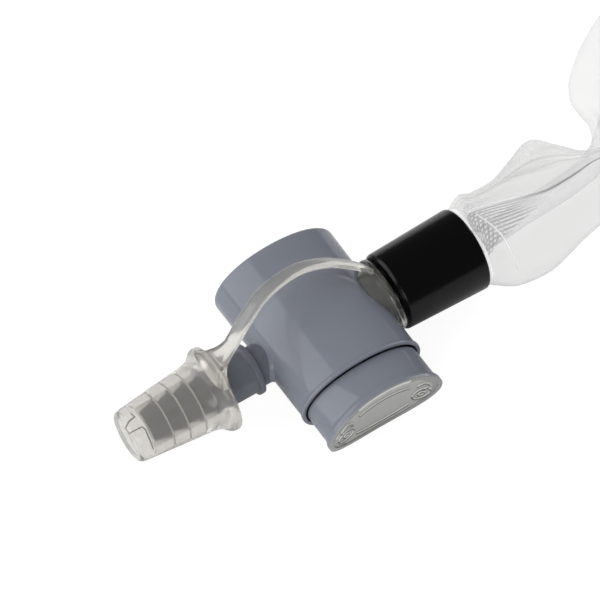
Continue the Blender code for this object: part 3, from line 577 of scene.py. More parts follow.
# Places on the route from the valve to the manifold, from the hub and in millimetres, as in the
# part's source: X, Y, catheter's height, sleeve's height, sleeve's half width and half thickness
ROUTE = (
    (40.1, 0.7, -1.0, -0.8, 9.6, 7.2),
    (47.2, 2.1, -2.4, -1.6, 9.8, 6.6),
    (57.3, 3.3, -3.9, -2.6, 9.0, 5.7),
    (67.3, 5.9, -4.8, -3.3, 6.4, 4.8),
    (76.3, 13.2, -5.0, -2.8, 9.2, 5.9),
    (85.0, 19.8, -5.0, -2.6, 10.4, 6.1),
    (101.0, 26.5, -5.0, -2.6, 10.6, 6.2),
    (126.0, 33.5, -5.0, -2.6, 10.4, 6.2),
    (165.0, 45.0, -5.0, -2.6, 10.4, 6.2),
    (194.5, 73.0, -5.0, -2.6, 10.4, 6.2),
    (202.0, 115.0, -5.0, -2.6, 10.4, 6.2),
    (185.0, 155.0, -5.0, -2.6, 10.4, 6.2),
    (147.0, 177.0, -5.0, -2.6, 10.4, 6.2),
    (100.0, 184.0, -5.0, -2.6, 10.4, 6.2),
    (60.0, 186.0, -4.0, -1.2, 10.0, 6.6),
    (35.0, 186.0, -0.8, 0.4, 9.4, 7.2),
    (15.0, 186.0, 1.9, 2.0, 8.6, 7.9),
    (4.0, 186.0, 2.4, 2.4, 8.0, 7.9),
)
ROUTE_STEP = 6                              # between the points of the catheter's line
ROUTE_START = Vector((28.6, 0.0, 0.0))
ROUTE_END = Vector((-9.0, 186.0, 2.4))
MANIFOLD = Vector((0.0, 186.0, 2.4))        # sleeve end of the manifold


def route_line():
    """The catheter's middle line, from the bush in the valve to the manifold."""
    places = [ROUTE_START, *(Vector((x, y, height)) for x, y, height, _, _, _ in ROUTE), ROUTE_END]
    return smooth_route([at(place) for place in places], ROUTE_STEP * MM)


CAMERA_PLACE = (-139.6, -240.2, 434.3)      # from the hub, in millimetres
CAMERA_TURN = (33.187, 2.045, -32.591)      # degrees
CAMERA_LENS = 168.17
# Name, direction from the hub, distance, width, height and power, in metres and watts
LAMPS = (
    ("side_softbox", (-0.72, 0.5, 0.55), 0.95, 1.3, 0.9, 8.3),
    ("front_softbox", (-0.5, -0.85, 0.45), 0.9, 0.7, 0.4, 3.0),
    ("right_strip", (0.9, 0.3, 0.25), 0.9, 0.25, 0.9, 2.5),
)


class CATHETER_OT_stage(bpy.types.Operator):
    """Add the camera, the lamps and the pale floor"""
    bl_idname = "catheter.stage"
    bl_label = "Stage"

    def execute(self, context):
        scene = context.scene
        scene.view_settings.view_transform = "Standard"
        deselect()
        bpy.ops.object.camera_add(location=HUB + Vector(CAMERA_PLACE) * MM,
                                  rotation=[math.radians(angle) for angle in CAMERA_TURN])
        camera = context.object
        camera.data.sensor_width = 36
        camera.data.lens = CAMERA_LENS
        camera.data.clip_end = 20
        scene.camera = camera
        for name, direction, *lamp in LAMPS:
            add_lamp(name, Vector(direction).normalized(), *lamp)
        world = bpy.data.worlds.new("studio")
        world.use_nodes = True
        scene.world = world
        world_light(world)
        add_floor()
        return {"FINISHED"}


def add_lamp(name, direction, distance, across, down, watts):
    deselect()
    bpy.ops.object.light_add(type="AREA", location=HUB + direction * distance)
    lamp = bpy.context.object
    lamp.name = name
    lamp.rotation_euler = (-direction).to_track_quat("-Z", "Y").to_euler()
    lamp.data.shape = "RECTANGLE"
    lamp.data.size = across
    lamp.data.size_y = down
    lamp.data.energy = watts


def seen_directly(nodes, links, path):
    """1 for the camera's own rays and for those that have passed through a clear piece."""
    first = nodes.new("ShaderNodeMath")
    first.operation = "MAXIMUM"
    links.new(path.outputs["Is Camera Ray"], first.inputs[0])
    links.new(path.outputs["Is Transmission Ray"], first.inputs[1])
    return first.outputs["Value"]


WORLD_SHADING = 0.5                 # the world's strength in plain shading
WORLD_MIRRORED = 0.15               # and in gloss
FLOOR_GLOW = 1.12                   # the floor's own white, where it is looked at
FLOOR_GLOW_SHARE = 0.82             # the rest is left to the shadow


def world_light(world):
    """White for the camera, pale for the shading and nearly dark for mirroring surfaces."""
    nodes, links = world.node_tree.nodes, world.node_tree.links
    background = nodes["Background"]
    path = nodes.new("ShaderNodeLightPath")
    mirrored = nodes.new("ShaderNodeMapRange")
    mirrored.inputs["To Min"].default_value = WORLD_SHADING
    mirrored.inputs["To Max"].default_value = WORLD_MIRRORED
    links.new(path.outputs["Is Glossy Ray"], mirrored.inputs["Value"])
    strength = nodes.new("ShaderNodeMapRange")
    strength.inputs["To Max"].default_value = 1.0
    links.new(seen_directly(nodes, links, path), strength.inputs["Value"])
    links.new(mirrored.outputs["Result"], strength.inputs["To Min"])
    links.new(strength.outputs["Result"], background.inputs["Strength"])
    background.inputs["Color"].default_value = (1, 1, 1, 1)


def add_floor():
    deselect()
    bpy.ops.mesh.primitive_plane_add(size=6, location=(0, 0, CAD_LOW.z - 0.05 * MM))
    floor = bpy.context.object
    floor.name = "floor"
    bpy.ops.object.mode_set(mode="EDIT")
    bpy.ops.mesh.select_all(action="SELECT")
    bpy.ops.mesh.subdivide(number_cuts=4)
    bpy.ops.object.mode_set(mode="OBJECT")
    white, nodes, links, shader = principled("white_floor", (0.9, 0.9, 0.9), 0.9)
    glow = nodes.new("ShaderNodeEmission")
    glow.inputs["Color"].default_value = (1, 1, 1, 1)
    glow.inputs["Strength"].default_value = FLOOR_GLOW
    mix = nodes.new("ShaderNodeMixShader")
    share = nodes.new("ShaderNodeMath")
    share.operation = "MULTIPLY"
    share.inputs[1].default_value = FLOOR_GLOW_SHARE
    links.new(seen_directly(nodes, links, nodes.new("ShaderNodeLightPath")), share.inputs[0])
    links.new(share.outputs["Value"], mix.inputs["Fac"])
    links.new(shader.outputs["BSDF"], mix.inputs[1])
    links.new(glow.outputs["Emission"], mix.inputs[2])
    links.new(mix.outputs["Shader"], nodes["Material Output"].inputs["Surface"])
    floor.data.materials.append(white)


class CATHETER_OT_valve(bpy.types.Operator):
    """Build the grey valve: barrel, vacuum port, catheter spigot and the parts inside"""
    bl_idname = "catheter.valve"
    bl_label = "Valve body"

    def execute(self, context):
        shell = merge(barrel(), vacuum_port(), catheter_spigot())
        shell.name = "valve_shell"
        give(shell, "valve", "grey_plastic", "valve_body")
        for node, finish in (("base_cap", "grey"), ("bonnet_ring", "grey"), ("catheter_bush", "grey"),
                             ("valve_stem", "grey"), ("front_seal", "silicone"),
                             ("back_seal", "silicone")):
            keep(node, finish)
        spring = give(coil_spring(), "valve", "spring_steel", "return_spring")
        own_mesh(spring)
        return {"FINISHED"}


def keep(node, finish):
    """Finish a CAD node that stays in sight."""
    item = frame["nodes"][node]
    item.data.materials.clear()
    item.data.materials.append(material(finish))


# All of these are in millimetres, and places are from the hub
BARREL_FLOOR = 13.9                 # floor that the base cap and the spring stand on
BARREL_WALL = 1.5
BACK_ROUNDING = 0.8
BUTTON_RECESS = 4.6
# Rounded lip at the button's end of the barrel: places from that end, and steps out from the wall
BARREL_LIP = ((1.1, 0), (0.95, 0.03), (0.8, 0.1), (0.7, 0.2), (0.6, 0.26), (0.5, 0.28),
              (0.2, 0.28), (0.08, 0.25), (0.0, 0.18), (0.0, -0.35), (0.05, -0.43), (0.15, -0.45))
PORT_INSIDE = 2.0                   # radius of the ways through the port and the spigot
WAY_START = 5.45                    # where the port and the spigot meet the stem's bore
NECK_RADIUS = 4.0
SPIGOT_RADIUS = 5.6
SPIGOT_END = 28.0
BARBS_START = 24.5
BARB_LENGTH = 3.25
BARB_RADIUS = (3.9, 2.95)           # at its shoulder and at its end
BARB_COUNT = 4
SPRING_RADIUS = 3.9
SPRING_WIRE = 0.4
SPRING_START = 7.7
SPRING_LENGTH = 5.8
SPRING_TURNS = 5
TURN_STEPS = 24


def coil_spring():
    """Coil round the end of the stem."""
    places = []
    steps = SPRING_TURNS * TURN_STEPS
    for step in range(steps + 1):
        angle = math.tau * step / TURN_STEPS
        places.append(at((SPRING_RADIUS * math.cos(angle), SPRING_START + SPRING_LENGTH * step / steps,
                          SPRING_RADIUS * math.sin(angle))))
    return bead("coil_spring", places, SPRING_WIRE, "steel")


def barrel():
    """Oval shell with a pocket for the base cap, a recess for the button and the stem's bore."""
    width, height, flare = sizes().barrel_half_width, sizes().barrel_half_height, sizes().barrel_flare
    back, front = sizes().barrel_back, -sizes().barrel_front
    bore = sizes().bore_radius
    inside = (width - BARREL_WALL, height - BARREL_WALL)
    stations = [(BARREL_FLOOR, bore, bore), (BARREL_FLOOR, *inside), (back - 0.15, *inside),
                (back, inside[0] + 0.15, inside[1] + 0.15)]
    for step in range(6):
        angle = math.radians(18 * step)
        out = flare - BACK_ROUNDING + BACK_ROUNDING * math.sin(angle)
        stations.append((back - BACK_ROUNDING + BACK_ROUNDING * math.cos(angle), width + out, height + out))
    for place, out in BARREL_LIP:
        stations.append((front + place, width + out, height + out))
    recess = front + BUTTON_RECESS
    stations += [(recess, width - 0.45, height - 0.6), (recess, bore, bore), (BARREL_FLOOR, bore, bore)]
    item = ring_walk("barrel", "Y", HUB, stations, 2 * sizes().segments, power=OVAL)
    return close_up(item, "grey")


def vacuum_port():
    """Bead, tube and barbs, with a blend where the port leaves the barrel."""
    shoulder, tip = BARB_RADIUS
    corners = [(-WAY_START, PORT_INSIDE, 0), (-WAY_START, NECK_RADIUS, 0),
               (-14.8, NECK_RADIUS, 0.25), (-14.8, 5.05, 0.3), (-16.0, 5.05, 0.3), (-16.0, 4.4, 0.2),
               (-BARBS_START, 4.4, 0.25), (-BARBS_START, shoulder, 0)]
    for number in range(BARB_COUNT):
        start = BARBS_START + number * BARB_LENGTH
        if number:
            corners.append((-start, shoulder, 0.1))
        corners.append((-start - BARB_LENGTH, tip, 0.1))
    corners.append((-sizes().port_length, PORT_INSIDE, 0))
    # The port's finish is its grey darkened as painted shade
    port = turned("vacuum_port", "X", rounded(*corners), "port", closed=True)
    return merge(port, neck_blend(-1, NECK_RADIUS, 1.0))


def barrel_skin(side, across):
    """The place on that side of the barrel which lies so far across from the hub's axis."""
    share = (abs(across.z) / sizes().barrel_half_height) ** OVAL
    return Vector((side * sizes().barrel_half_width * (1 - share) ** (1 / OVAL), across.y, across.z))


def neck_blend(side, radius, size):
    """A concave strip between the barrel and a round neck on that side of it."""
    count = sizes().segments
    parts = 6
    bm = bmesh.new()
    loops = []
    for step in range(count):
        angle = math.tau * step / count
        across = Vector((0, math.cos(angle), math.sin(angle)))
        corner = barrel_skin(side, across * radius)
        foot = barrel_skin(side, across * (radius + size))
        top = corner + Vector((side * size, 0, 0))
        loop = []
        for part in range(parts + 1):
            share = part / parts
            place = top.lerp(corner, share).lerp(corner.lerp(foot, share), share)
            loop.append(bm.verts.new(at(place)))
        loops.append(loop)
    for index in range(count):
        first, second = loops[index], loops[(index + 1) % count]
        for part in range(parts):
            bm.faces.new((first[part], second[part], second[part + 1], first[part + 1]))
    return close_up(new_mesh("neck_blend", bm), "grey")


def catheter_spigot():
    """Plain tube towards the film, which the collar, the bush and the strap's ring sit on."""
    corners = ((WAY_START, PORT_INSIDE, 0), (WAY_START, SPIGOT_RADIUS, 0),
               (SPIGOT_END, SPIGOT_RADIUS, 0.4), (SPIGOT_END, PORT_INSIDE, 0.2))
    return turned("catheter_spigot", "X", rounded(*corners), "grey", closed=True)


class CATHETER_OT_button(bpy.types.Operator):
    """Build the thumb button with its hollow face and raised marks"""
    bl_idname = "catheter.button"
    bl_label = "Thumb button"

    def execute(self, context):
        button = button_shell()
        paint_face(button)
        merge(button, *face_marks())
        give(button, "button", "grey_plastic", "thumb_button")
        return {"FINISHED"}


# All of these are in millimetres, and places are from the hub
BUTTON_FOOT = -14.12
LEAN_REACH = 5.9                    # over which the button takes up the face's lean and hollow
# Edge of the thumb face: places from its tips, and steps in from its outline
FACE_EDGE = ((2.0, 0.4), (1.6, 0.25), (1.3, 0.06), (1.1, 0.0), (0.25, 0.0), (0.08, 0.05), (0.0, 0.2),
             (0.0, 0.95), (0.06, 1.02), (0.25, 1.1))
# Shares of the way to the outline: the rim's painted shade starts at the first, and the painted highlight
# on its upper edge ends at the second
RIM_START = 0.855                   # share of the way to the outline
UPPER_EDGE_END = 0.93
# Arcs on the face: x, z, radius, and the angles where they start and end
FACE_ARCS = ((0.2, -13.4, 17.5, 108, 72), (0.2, 8.0, 12.8, 244, 296))
# Padlocks on it: x, z, and how far the shackle is turned open
PADLOCKS = ((8.2, -0.6, 60), (-8.0, -0.3, 0))
LOCK_BODY = (-0.6, 1.8)             # step up and radius of a padlock's body
LOCK_KEYHOLE = (-0.6, 0.6)
LOCK_SHACKLE = (2.0, 1.3)
# The two beads that draw each line, a light one above as painted highlight and a dark one below as painted
# shadow: how far up they lie, their radius and their finish
MARK_BEADS = ((0.17, 0.18, "edge"), (-0.17, 0.2, "mark"))
MARK_DEPTH = 0.18                   # how far behind the face's outline their middle lies


def button_shell():
    """Oval button whose face is hollow and leans back."""
    width, height, front = sizes().face_half_width, sizes().face_half_height, -sizes().face_tip
    first, last = FACE_EDGE[0][1], FACE_EDGE[-1][1]
    stations = [(BUTTON_FOOT, width - first, height - first)]
    for place, inward in FACE_EDGE:
        stations.append((front + place, width - inward, height - inward))
    for step in range(1, 16):
        share = 1 - step / 16
        stations.append((front + 0.25, (width - last) * share, (height - last) * share))
    button = ring_walk("thumb_button_shell", "Y", HUB, stations, 2 * sizes().segments, power=OVAL)
    for vertex in button.data.vertices:
        place = (vertex.co - HUB) / MM
        weight = min(1, max(0, (BUTTON_FOOT - place.y) / LEAN_REACH))
        vertex.co.y += weight * face_shift(place.x, place.z) * MM
    fill_holes(button)
    return close_up(button, "grey")


def paint_face(button):
    """Give the thumb face its finish, its rim a darker grey as painted shade and the lit part of its upper
    edge a light grey as painted highlight.
    """
    width, height = sizes().face_half_width, sizes().face_half_height
    for finish in ("face", "rim", "edge"):
        button.data.materials.append(material(finish))
    for polygon in button.data.polygons:
        place = (polygon.center - HUB) / MM
        depth = place.y - face_shift(place.x, place.z) + sizes().face_tip
        out = (abs(place.x / width) ** OVAL + abs(place.z / height) ** OVAL) ** (1 / OVAL)
        # Rim polygons take painted shade, and those on its upper-left side a painted highlight
        if depth < 0.35:
            lit = RIM_START < out < UPPER_EDGE_END and place.z > 0.12 * height and place.x < 6
            polygon.material_index = 3 if lit else 2 if out > RIM_START else 1


def face_shift(x, z):
    """How far the hollow and the lean move a point of the thumb face back."""
    return (sizes().face_dish * (1 - (x / sizes().face_half_width) ** 2)
            - sizes().face_lean * z / sizes().face_half_height)


def face_marks():
    """An open and a shut padlock and two arcs, raised from the thumb face, each drawn by a light bead above
    as painted highlight and a dark bead below as painted shadow.
    """
    lines = [arc_line(*arc) for arc in FACE_ARCS]
    for x, z, opening in PADLOCKS:
        for (up, radius), start, end in ((LOCK_BODY, 0, 360), (LOCK_KEYHOLE, 0, 360),
                                         (LOCK_SHACKLE, 200 - opening, -20 - opening)):
            lines.append(arc_line(x, z + up, radius, start, end))
    marks = []
    for line in lines:
        for shift, radius, finish in MARK_BEADS:
            places = [at((x, MARK_DEPTH - sizes().face_tip + face_shift(x, z + shift), z + shift))
                      for x, z in line]
            marks.append(bead("face_mark", places, radius, finish))
    return marks


def arc_line(x, z, radius, start, end):
    """Points of an arc on the thumb face, about (x, z); angles in degrees."""
    points = []
    for step in range(33):
        angle = math.radians(start + (end - start) * step / 32)
        points.append((x + radius * math.cos(angle), z + radius * math.sin(angle)))
    return points


def round_line(name, places, radius, smoothness):
    """A curve through the places, as thick as a round line; the radius is in millimetres."""
    curve = bpy.data.curves.new(name, "CURVE")
    curve.dimensions = "3D"
    curve.bevel_depth = radius * MM
    curve.bevel_resolution = smoothness
    curve.use_fill_caps = True
    spline = curve.splines.new("POLY")
    spline.points.add(len(places) - 1)
    for place, point in zip(places, spline.points):
        point.co = (*place, 1)
    item = bpy.data.objects.new(name, curve)
    bpy.context.collection.objects.link(item)
    return item


def bead(name, places, radius, finish):
    """A thin round line as a mesh; the radius is in millimetres."""
    activate(round_line(name, places, radius, 2))
    bpy.ops.object.convert(target="MESH")
    return close_up(bpy.context.object, finish)


class CATHETER_OT_cap(bpy.types.Operator):
    """Build the milky cap on the vacuum port"""
    bl_idname = "catheter.cap"
    bl_label = "Port cap"

    def execute(self, context):
        face = -sizes().cap_face
        (deep, narrow), (mouth, wide) = CAP_BORE
        corners = ((deep, 0.3, 0), (deep, narrow, 0.5), (mouth, wide, 0.2), (face, 4.85, 0.3),
                   (face, 8.4, 0.55), (face - 1.5, 8.45, 0.6), (face - 3.0, 7.0, 0.7),
                   (face - 4.3, 6.62, 0.6), (-40.5, 5.22, 0.3), (CAP_TIP, 4.9, 0.9), (CAP_TIP, 0.3, 0))
        cap = turned("cap_shell", "X", rounded(*corners, steps=6), "milky")
        ribs = [grip_rib(place) for place in GRIP_RIBS]
        # The core step is a dark bead of painted shade along the moulded step
        merge(cap, *ribs, bead("core_step", [at(place) for place in CORE_STEP], 0.13, "core"))
        give(cap, "cap", "milky_plastic", "port_cap")
        return {"FINISHED"}


# All of these are in millimetres, and places are from the hub
CAP_TIP = -41.6
CAP_BORE = ((-38.2, 3.9), (-24.9, 4.45))    # place and radius at the bore's end and at its mouth
GRIP_RIBS = (-27.75, -31.0, -34.25)
RIB_HALF_WIDTH = 0.15
RIB_INSIDE = 3.93


def grip_rib(place):
    """Thin ring inside the cap, which grips the port behind a barb."""
    (deep, narrow), (mouth, wide) = CAP_BORE
    wall = narrow + (wide - narrow) * (place - deep) / (mouth - deep) + 0.05
    start, end = place - RIB_HALF_WIDTH, place + RIB_HALF_WIDTH
    profile = rounded((start, RIB_INSIDE, 0), (start, wall, 0), (end, wall, 0), (end, RIB_INSIDE, 0))
    return turned("grip_rib", "X", profile, "rib", closed=True)


# Places of the moulded step seen in the cap's solid tip, where a dark bead paints the shade along it
CORE_STEP = ((-39.0, 1.8, 3.2), (-38.9, 0.7, 3.6), (-40.2, 0.5, 3.7), (-41.1, -0.2, 3.7),
             (-41.1, -1.3, 3.4), (-38.8, -1.4, 3.4), (-38.5, -2.0, 3.1), (-38.5, -3.7, -0.4))

# Places on the tether's middle line, from the hub and in millimetres
STRAP_ROUTE = (
    (-22.9, 0.0, 6.6),
    (-21.9, 0.0, 8.6),
    (-18.6, 0.3, 10.9),
    (-14.5, 2.0, 12.9),
    (-8.7, 4.5, 13.9),
    (-1.4, 6.0, 13.2),
    (4.6, 5.6, 11.3),
    (8.8, 4.4, 8.9),
    (11.0, 3.2, 7.6),
    (12.6, 1.6, 6.8),
)
STRAP_STEP = 0.5
STRAP_SIDES = 24
STRAP_HALF = (1.5, 0.6)             # half width and half thickness
ROOT_HALF = (3.4, 1.0)              # what its root has more of them
ROOT_LENGTH = 6.5
STRAP_TURN = 30                     # degrees about its own line, from the cap to the ring
RING_LEAN = 0.7                     # of the top of the strap's ring, towards the barrel
RING_RADIUS = 7.5


class CATHETER_OT_tether(bpy.types.Operator):
    """Sweep the strap from the cap to its ring and short sleeve on the spigot"""
    bl_idname = "catheter.tether"
    bl_label = "Tether"

    def execute(self, context):
        ring = turned("anchor_ring", "X", rounded(
            (13.2, 5.9, 0.1), (13.2, RING_RADIUS, 0.25), (14.2, RING_RADIUS, 0.25), (14.2, 5.9, 0.1)),
            "ring", closed=True)
        lean_top(ring)
        # The sleeve is coloured nearly black as painted shade in the gap between the barrel and the ring
        sleeve = turned("ring_sleeve", "X", rounded(
            (9.8, 5.65, 0), (9.8, 6.0, 0.1), (13.5, 6.0, 0.1), (13.5, 5.65, 0)), "sleeve", closed=True)
        tether = merge(strap(), ring, sleeve)
        tether.name = "tether_strap"
        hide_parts("cap_strap")
        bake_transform(tether)
        return {"FINISHED"}


def lean_top(item):
    """Lean the top of a ring on the spigot towards the barrel."""
    for vertex in item.data.vertices:
        place = (vertex.co - HUB) / MM
        vertex.co.x -= RING_LEAN * max(0, place.z / RING_RADIUS) ** 1.5 * MM


def strap():
    """Rounded band that widens where it grows out of the cap's rim."""
    line = smooth_route([at(place) for place in STRAP_ROUTE], STRAP_STEP * MM)
    bm = bmesh.new()
    loops = []
    for index, place in enumerate(line):
        forward = tangent(line, index)
        turn = math.radians(STRAP_TURN) * index / (len(line) - 1)
        across = Vector((0, math.cos(turn), -math.sin(turn)))
        across = (across - forward * across.dot(forward)).normalized()
        outward = forward.cross(across)
        root = max(0.0, 1 - index * STRAP_STEP / ROOT_LENGTH) ** 2
        half_width, half_thick = (half + more * root for half, more in zip(STRAP_HALF, ROOT_HALF))
        loop = []
        for step in range(STRAP_SIDES):
            angle = math.tau * (step + 0.5) / STRAP_SIDES
            side, up = math.cos(angle), math.sin(angle)
            square = (side ** 4 + up ** 4) ** -0.25
            loop.append(bm.verts.new(place + across * (side * square * half_width * MM)
                                     + outward * (up * square * half_thick * MM)))
        loops.append(loop)
    join_loops(bm, loops)
    bm.faces.new(loops[0])
    bm.faces.new(reversed(loops[-1]))
    return close_up(new_mesh("strap", bm), "milky", 45)


def join_loops(bm, loops):
    """Faces between each loop of points and the next."""
    sides = len(loops[0])
    for first, second in zip(loops, loops[1:]):
        for step in range(sides):
            after = (step + 1) % sides
            bm.faces.new((first[step], second[step], second[after], first[after]))


class CATHETER_OT_collars(bpy.types.Operator):
    """Turn the two black collars that hold the film"""
    bl_idname = "catheter.collars"
    bl_label = "Collars"

    def execute(self, context):
        near = turned("near_collar", "X", rounded(
            (13.6, 5.65, 0), (13.6, 5.8, 0), (14.5, 5.8, 0), (14.5, 7.35, 0.2), (14.8, 7.55, 0.1),
            (15.1, 7.8, 0.2), (32.4, 8.4, 0.6), (32.4, 7.85, 0.1), (31.9, 7.6, 0.1), (31.9, 5.65, 0.1)),
            "black", closed=True)
        give(near, "valve", "black_rubber", "sleeve_collar")
        far = turned("far_collar", "X", rounded(
            (0.0, 6.7, 0.1), (0.0, 8.4, 0.6), (-15.4, 8.4, 0.2), (-15.7, 8.15, 0.1),
            (-16.0, 7.9, 0.2), (-16.0, 6.7, 0.1)), "black", centre=at(MANIFOLD), closed=True)
        give(far, "valve", "black_rubber", "manifold_collar")
        return {"FINISHED"}


# The film's first folds, close to those in the part's source: places on the film, from the hub and in
# millimetres. Each section has eight, round the catheter: near side, belly, near crease, ridge,
# far crease, far side and two underneath.
FOLDS = (
    ((35.6, -9.4, -2.5), (35.4, -4.6, 5.6), (34.9, 3.2, 5.2), (35.2, 4.6, 6.4),
     (35.2, 5.6, 6.6), (35.2, 7.4, 5.4), (35.4, 6.2, -5.6), (35.6, -4.8, -6.8)),
    ((38.2, -10.5, -3.0), (38.4, -4.8, 5.4), (38.5, 3.7, 3.8), (38.4, 5.0, 4.9),
     (38.2, 5.9, 4.6), (38.2, 7.2, 4.6), (38.6, 6.8, -5.8), (38.6, -5.2, -7.2)),
    ((42.4, -10.8, -3.2), (42.8, -4.9, 4.8), (43.0, 3.2, 2.6), (43.4, 5.4, 3.7),
     (43.8, 6.8, 3.0), (43.4, 7.7, 3.8), (43.2, 7.6, -5.8), (43.0, -5.2, -7.9)),
    ((47.2, -10.2, -3.4), (47.8, -4.4, 3.8), (48.4, 2.6, 1.3), (48.4, 5.6, 2.6),
     (48.8, 7.9, 1.4), (48.6, 9.3, 4.8), (48.4, 8.8, -6.0), (48.0, -4.8, -8.0)),
    ((52.8, -8.7, -3.4), (53.0, -3.6, 2.6), (53.0, 2.2, 0.4), (53.2, 5.4, 1.7),
     (53.4, 7.8, 0.8), (53.6, 10.4, 6.4), (53.8, 10.2, -6.2), (53.0, -4.0, -8.0)),
    ((58.0, -7.5, -3.4), (58.0, -2.6, 1.6), (58.2, 2.7, -0.2), (58.2, 5.0, 1.0),
     (58.2, 7.2, 0.2), (58.6, 8.4, 3.6), (60.0, 10.8, -7.0), (58.0, -2.8, -8.0)),
    ((63.6, -5.4, -3.6), (63.2, -1.0, 1.0), (63.2, 3.2, -0.4), (63.0, 4.2, 0.6),
     (63.0, 5.0, 0.2), (62.8, 5.6, 1.6), (65.4, 9.2, -7.2), (64.0, -1.2, -8.0)),
    ((70.2, -1.6, -3.6), (69.4, 1.2, 0.8), (68.2, 3.4, 0.2), (67.5, 4.2, 0.8),
     (67.0, 4.6, 0.6), (66.4, 4.8, 1.0), (68.8, 9.9, -7.2), (70.2, 1.6, -8.0)),
    ((76.4, 3.4, -3.4), (74.6, 5.6, 2.4), (72.2, 8.0, 2.8), (70.8, 9.0, 3.2),
     (69.6, 9.4, 3.0), (68.2, 9.4, 2.8), (71.6, 13.6, -7.2), (75.6, 6.0, -7.9)),
)
FOLDED_PLACES = 4                   # places on the route whose sections the folds replace
SECTION_ANGLES = (0, 45, 80, 105, 130, 180, 235, 305)   # of a section's places, in degrees
SECTION_PARTS = 10                  # faces from one place of a section to the next
FOLDED_STEP = 0.6                   # length of the faces along the film, in millimetres
PLAIN_STEP = 1.8
MAP_PLACE = 3 * SECTION_PARTS       # where the map's length is measured
FILM_START = Vector((32.7, 0, 0))


class CATHETER_OT_film(bpy.types.Operator):
    """Drape the film sleeve round the catheter"""
    bl_idname = "catheter.film"
    bl_label = "Film sleeve"

    def execute(self, context):
        columns = list(zip(*(round_section(section, SECTION_PARTS) for section in film_sections())))
        rings = []
        for index in range(len(columns[0]) - 1):
            span = (columns[0][index + 1] - columns[0][index]).length
            parts = max(4, round(span / (FOLDED_STEP if index <= len(FOLDS) else PLAIN_STEP)))
            for part in range(parts):
                rings.append([spline_point(column, index, part / parts) for column in columns])
        rings.append([column[-1] for column in columns])
        bm = bmesh.new()
        join_loops(bm, [[bm.verts.new(at(place)) for place in ring] for ring in rings])
        lay_map(bm, rings)
        film = new_mesh("film", bm)
        close_up(film, "film", 180)
        wrinkle(film)
        give(film, "valve", "film", "film_sleeve")
        return {"FINISHED"}


def lay_map(bm, rings):
    """Give each face of the tube its share round the film and its way along it in millimetres."""
    lengths = [0.0]
    for here, there in zip(rings, rings[1:]):
        lengths.append(lengths[-1] + (there[MAP_PLACE] - here[MAP_PLACE]).length)
    layer = bm.loops.layers.uv.new("film_map")
    sides = len(rings[0])
    for number, face in enumerate(bm.faces):
        row, step = divmod(number, sides)
        for loop, (across, forward) in zip(face.loops, ((0, 0), (0, 1), (1, 1), (1, 0))):
            loop[layer].uv = ((step + across) * len(SECTION_ANGLES) / sides, lengths[row + forward])


def oval_section(place, heading, half_width, half_thickness):
    """Eight places round an oval that faces along the heading, from its right-hand side over the top."""
    up = Vector((0, 0, 1))
    side = heading.cross(up).normalized()
    return [place + side * (half_width * math.cos(math.radians(angle)))
            + up * (half_thickness * math.sin(math.radians(angle))) for angle in SECTION_ANGLES]


def film_sections():
    """Sections of the film, from one collar to the other."""
    end_radius = sizes().sleeve_end
    end = MANIFOLD + Vector((0.3, 0, 0))
    sections = [oval_section(FILM_START, Vector((1, 0, 0)), end_radius, end_radius)]
    sections += [[Vector(place) for place in fold] for fold in FOLDS]
    line = [Vector((x, y, height)) for x, y, _, height, _, _ in ROUTE] + [end]
    for index in range(FOLDED_PLACES, len(ROUTE)):
        sections.append(oval_section(line[index], tangent(line, index), *ROUTE[index][4:]))
    sections.append(oval_section(end, Vector((-1, 0, 0)), end_radius, end_radius))
    return sections


def round_section(places, parts):
    """More places on the smooth closed curve through a section's own."""
    wrapped = [places[-1], *places, *places[:2]]
    return [spline_point(wrapped, index + 1, part / parts)
            for index in range(len(places)) for part in range(parts)]


def wrinkle(film):
    """Small creases all over the film, finer beside the collars."""
    mesh = film.data
    normals = [vertex.normal.copy() for vertex in mesh.vertices]
    for vertex, normal in zip(mesh.vertices, normals):
        place = (vertex.co - HUB) / MM
        fine = noise.noise(Vector((place.x * 0.16, place.y * 0.3, place.z * 0.3)))
        broad = noise.noise(Vector((place.x * 0.05, place.y * 0.08, place.z * 0.1)))
        free = min(1, max(0, (place - Vector((32.6, 0, 0))).length - 8) / 6)
        free = min(free, max(0, (place - MANIFOLD).length - 8) / 6)
        vertex.co += normal * (0.25 * fine + 0.3 * broad) * free * MM


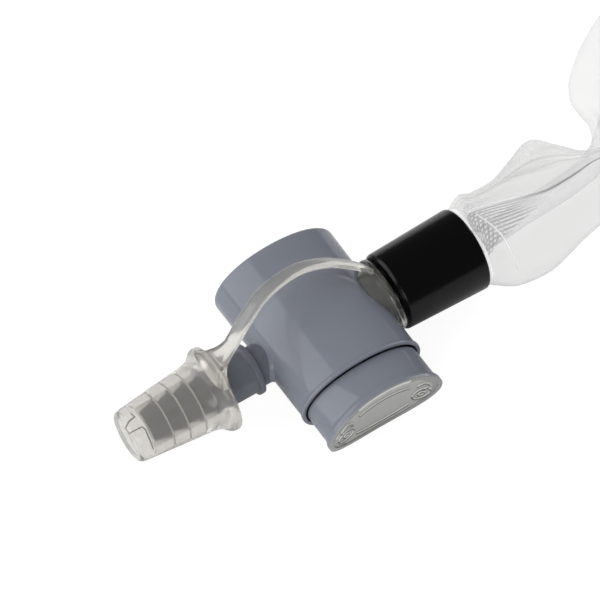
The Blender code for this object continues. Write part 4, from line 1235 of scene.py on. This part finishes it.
class CATHETER_OT_manifold(bpy.types.Operator):
    """Finish the patient manifold, its swivels and its irrigation cap"""
    bl_idname = "catheter.manifold"
    bl_label = "Patient manifold"

    def execute(self, context):
        for node, finish in (("manifold_body", "clear"), ("airway_swivel", "clear"),
                             ("circuit_swivel", "clear"), ("irrigation_cap", "milky"),
                             ("wiper_seal", "silicone"), ("seal_retainer", "clear")):
            keep(node, finish)
        return {"FINISHED"}


class CATHETER_OT_catheter(bpy.types.Operator):
    """Lay the catheter from the valve to the manifold"""
    bl_idname = "catheter.catheter"
    bl_label = "Catheter"

    def execute(self, context):
        item = round_line("suction_catheter", route_line(), sizes().catheter_radius, 5)
        item.data.materials.append(material("vinyl"))
        give(item, "valve", "catheter_vinyl", "catheter_tube")
        return {"FINISHED"}


PIECES = (CATHETER_OT_stage, CATHETER_OT_valve, CATHETER_OT_button, CATHETER_OT_cap, CATHETER_OT_tether,
          CATHETER_OT_collars, CATHETER_OT_catheter, CATHETER_OT_film, CATHETER_OT_manifold)


class CATHETER_PT_panel(bpy.types.Panel):
    """Pieces of the catheter, in the order in which they are made"""
    bl_label = "Closed suction catheter"
    bl_idname = "CATHETER_PT_panel"
    bl_space_type = "VIEW_3D"
    bl_region_type = "UI"
    bl_category = "Catheter"

    def draw(self, context):
        for name in CatheterSizes.__annotations__:
            self.layout.prop(context.scene.catheter_sizes, name)
        for name in CatheterColours.__annotations__:
            self.layout.prop(context.scene.catheter_colours, name)
        for piece in PIECES:
            self.layout.operator(piece.bl_idname)


CLASSES = (CatheterSizes, CatheterColours, *PIECES, CATHETER_PT_panel)


def register():
    for item in CLASSES:
        bpy.utils.register_class(item)
    bpy.types.Scene.catheter_sizes = PointerProperty(type=CatheterSizes)
    bpy.types.Scene.catheter_colours = PointerProperty(type=CatheterColours)


def unregister():
    del bpy.types.Scene.catheter_colours
    del bpy.types.Scene.catheter_sizes
    for item in reversed(CLASSES):
        bpy.utils.unregister_class(item)


def main():
    register()
    bpy.ops.catheter.stage()
    bpy.ops.catheter.valve()
    bpy.ops.catheter.button()
    bpy.ops.catheter.cap()
    bpy.ops.catheter.tether()
    bpy.ops.catheter.collars()
    bpy.ops.catheter.catheter()
    bpy.ops.catheter.film()
    bpy.ops.catheter.manifold()
    line = route_line()


if __name__ == "__main__":
    main()
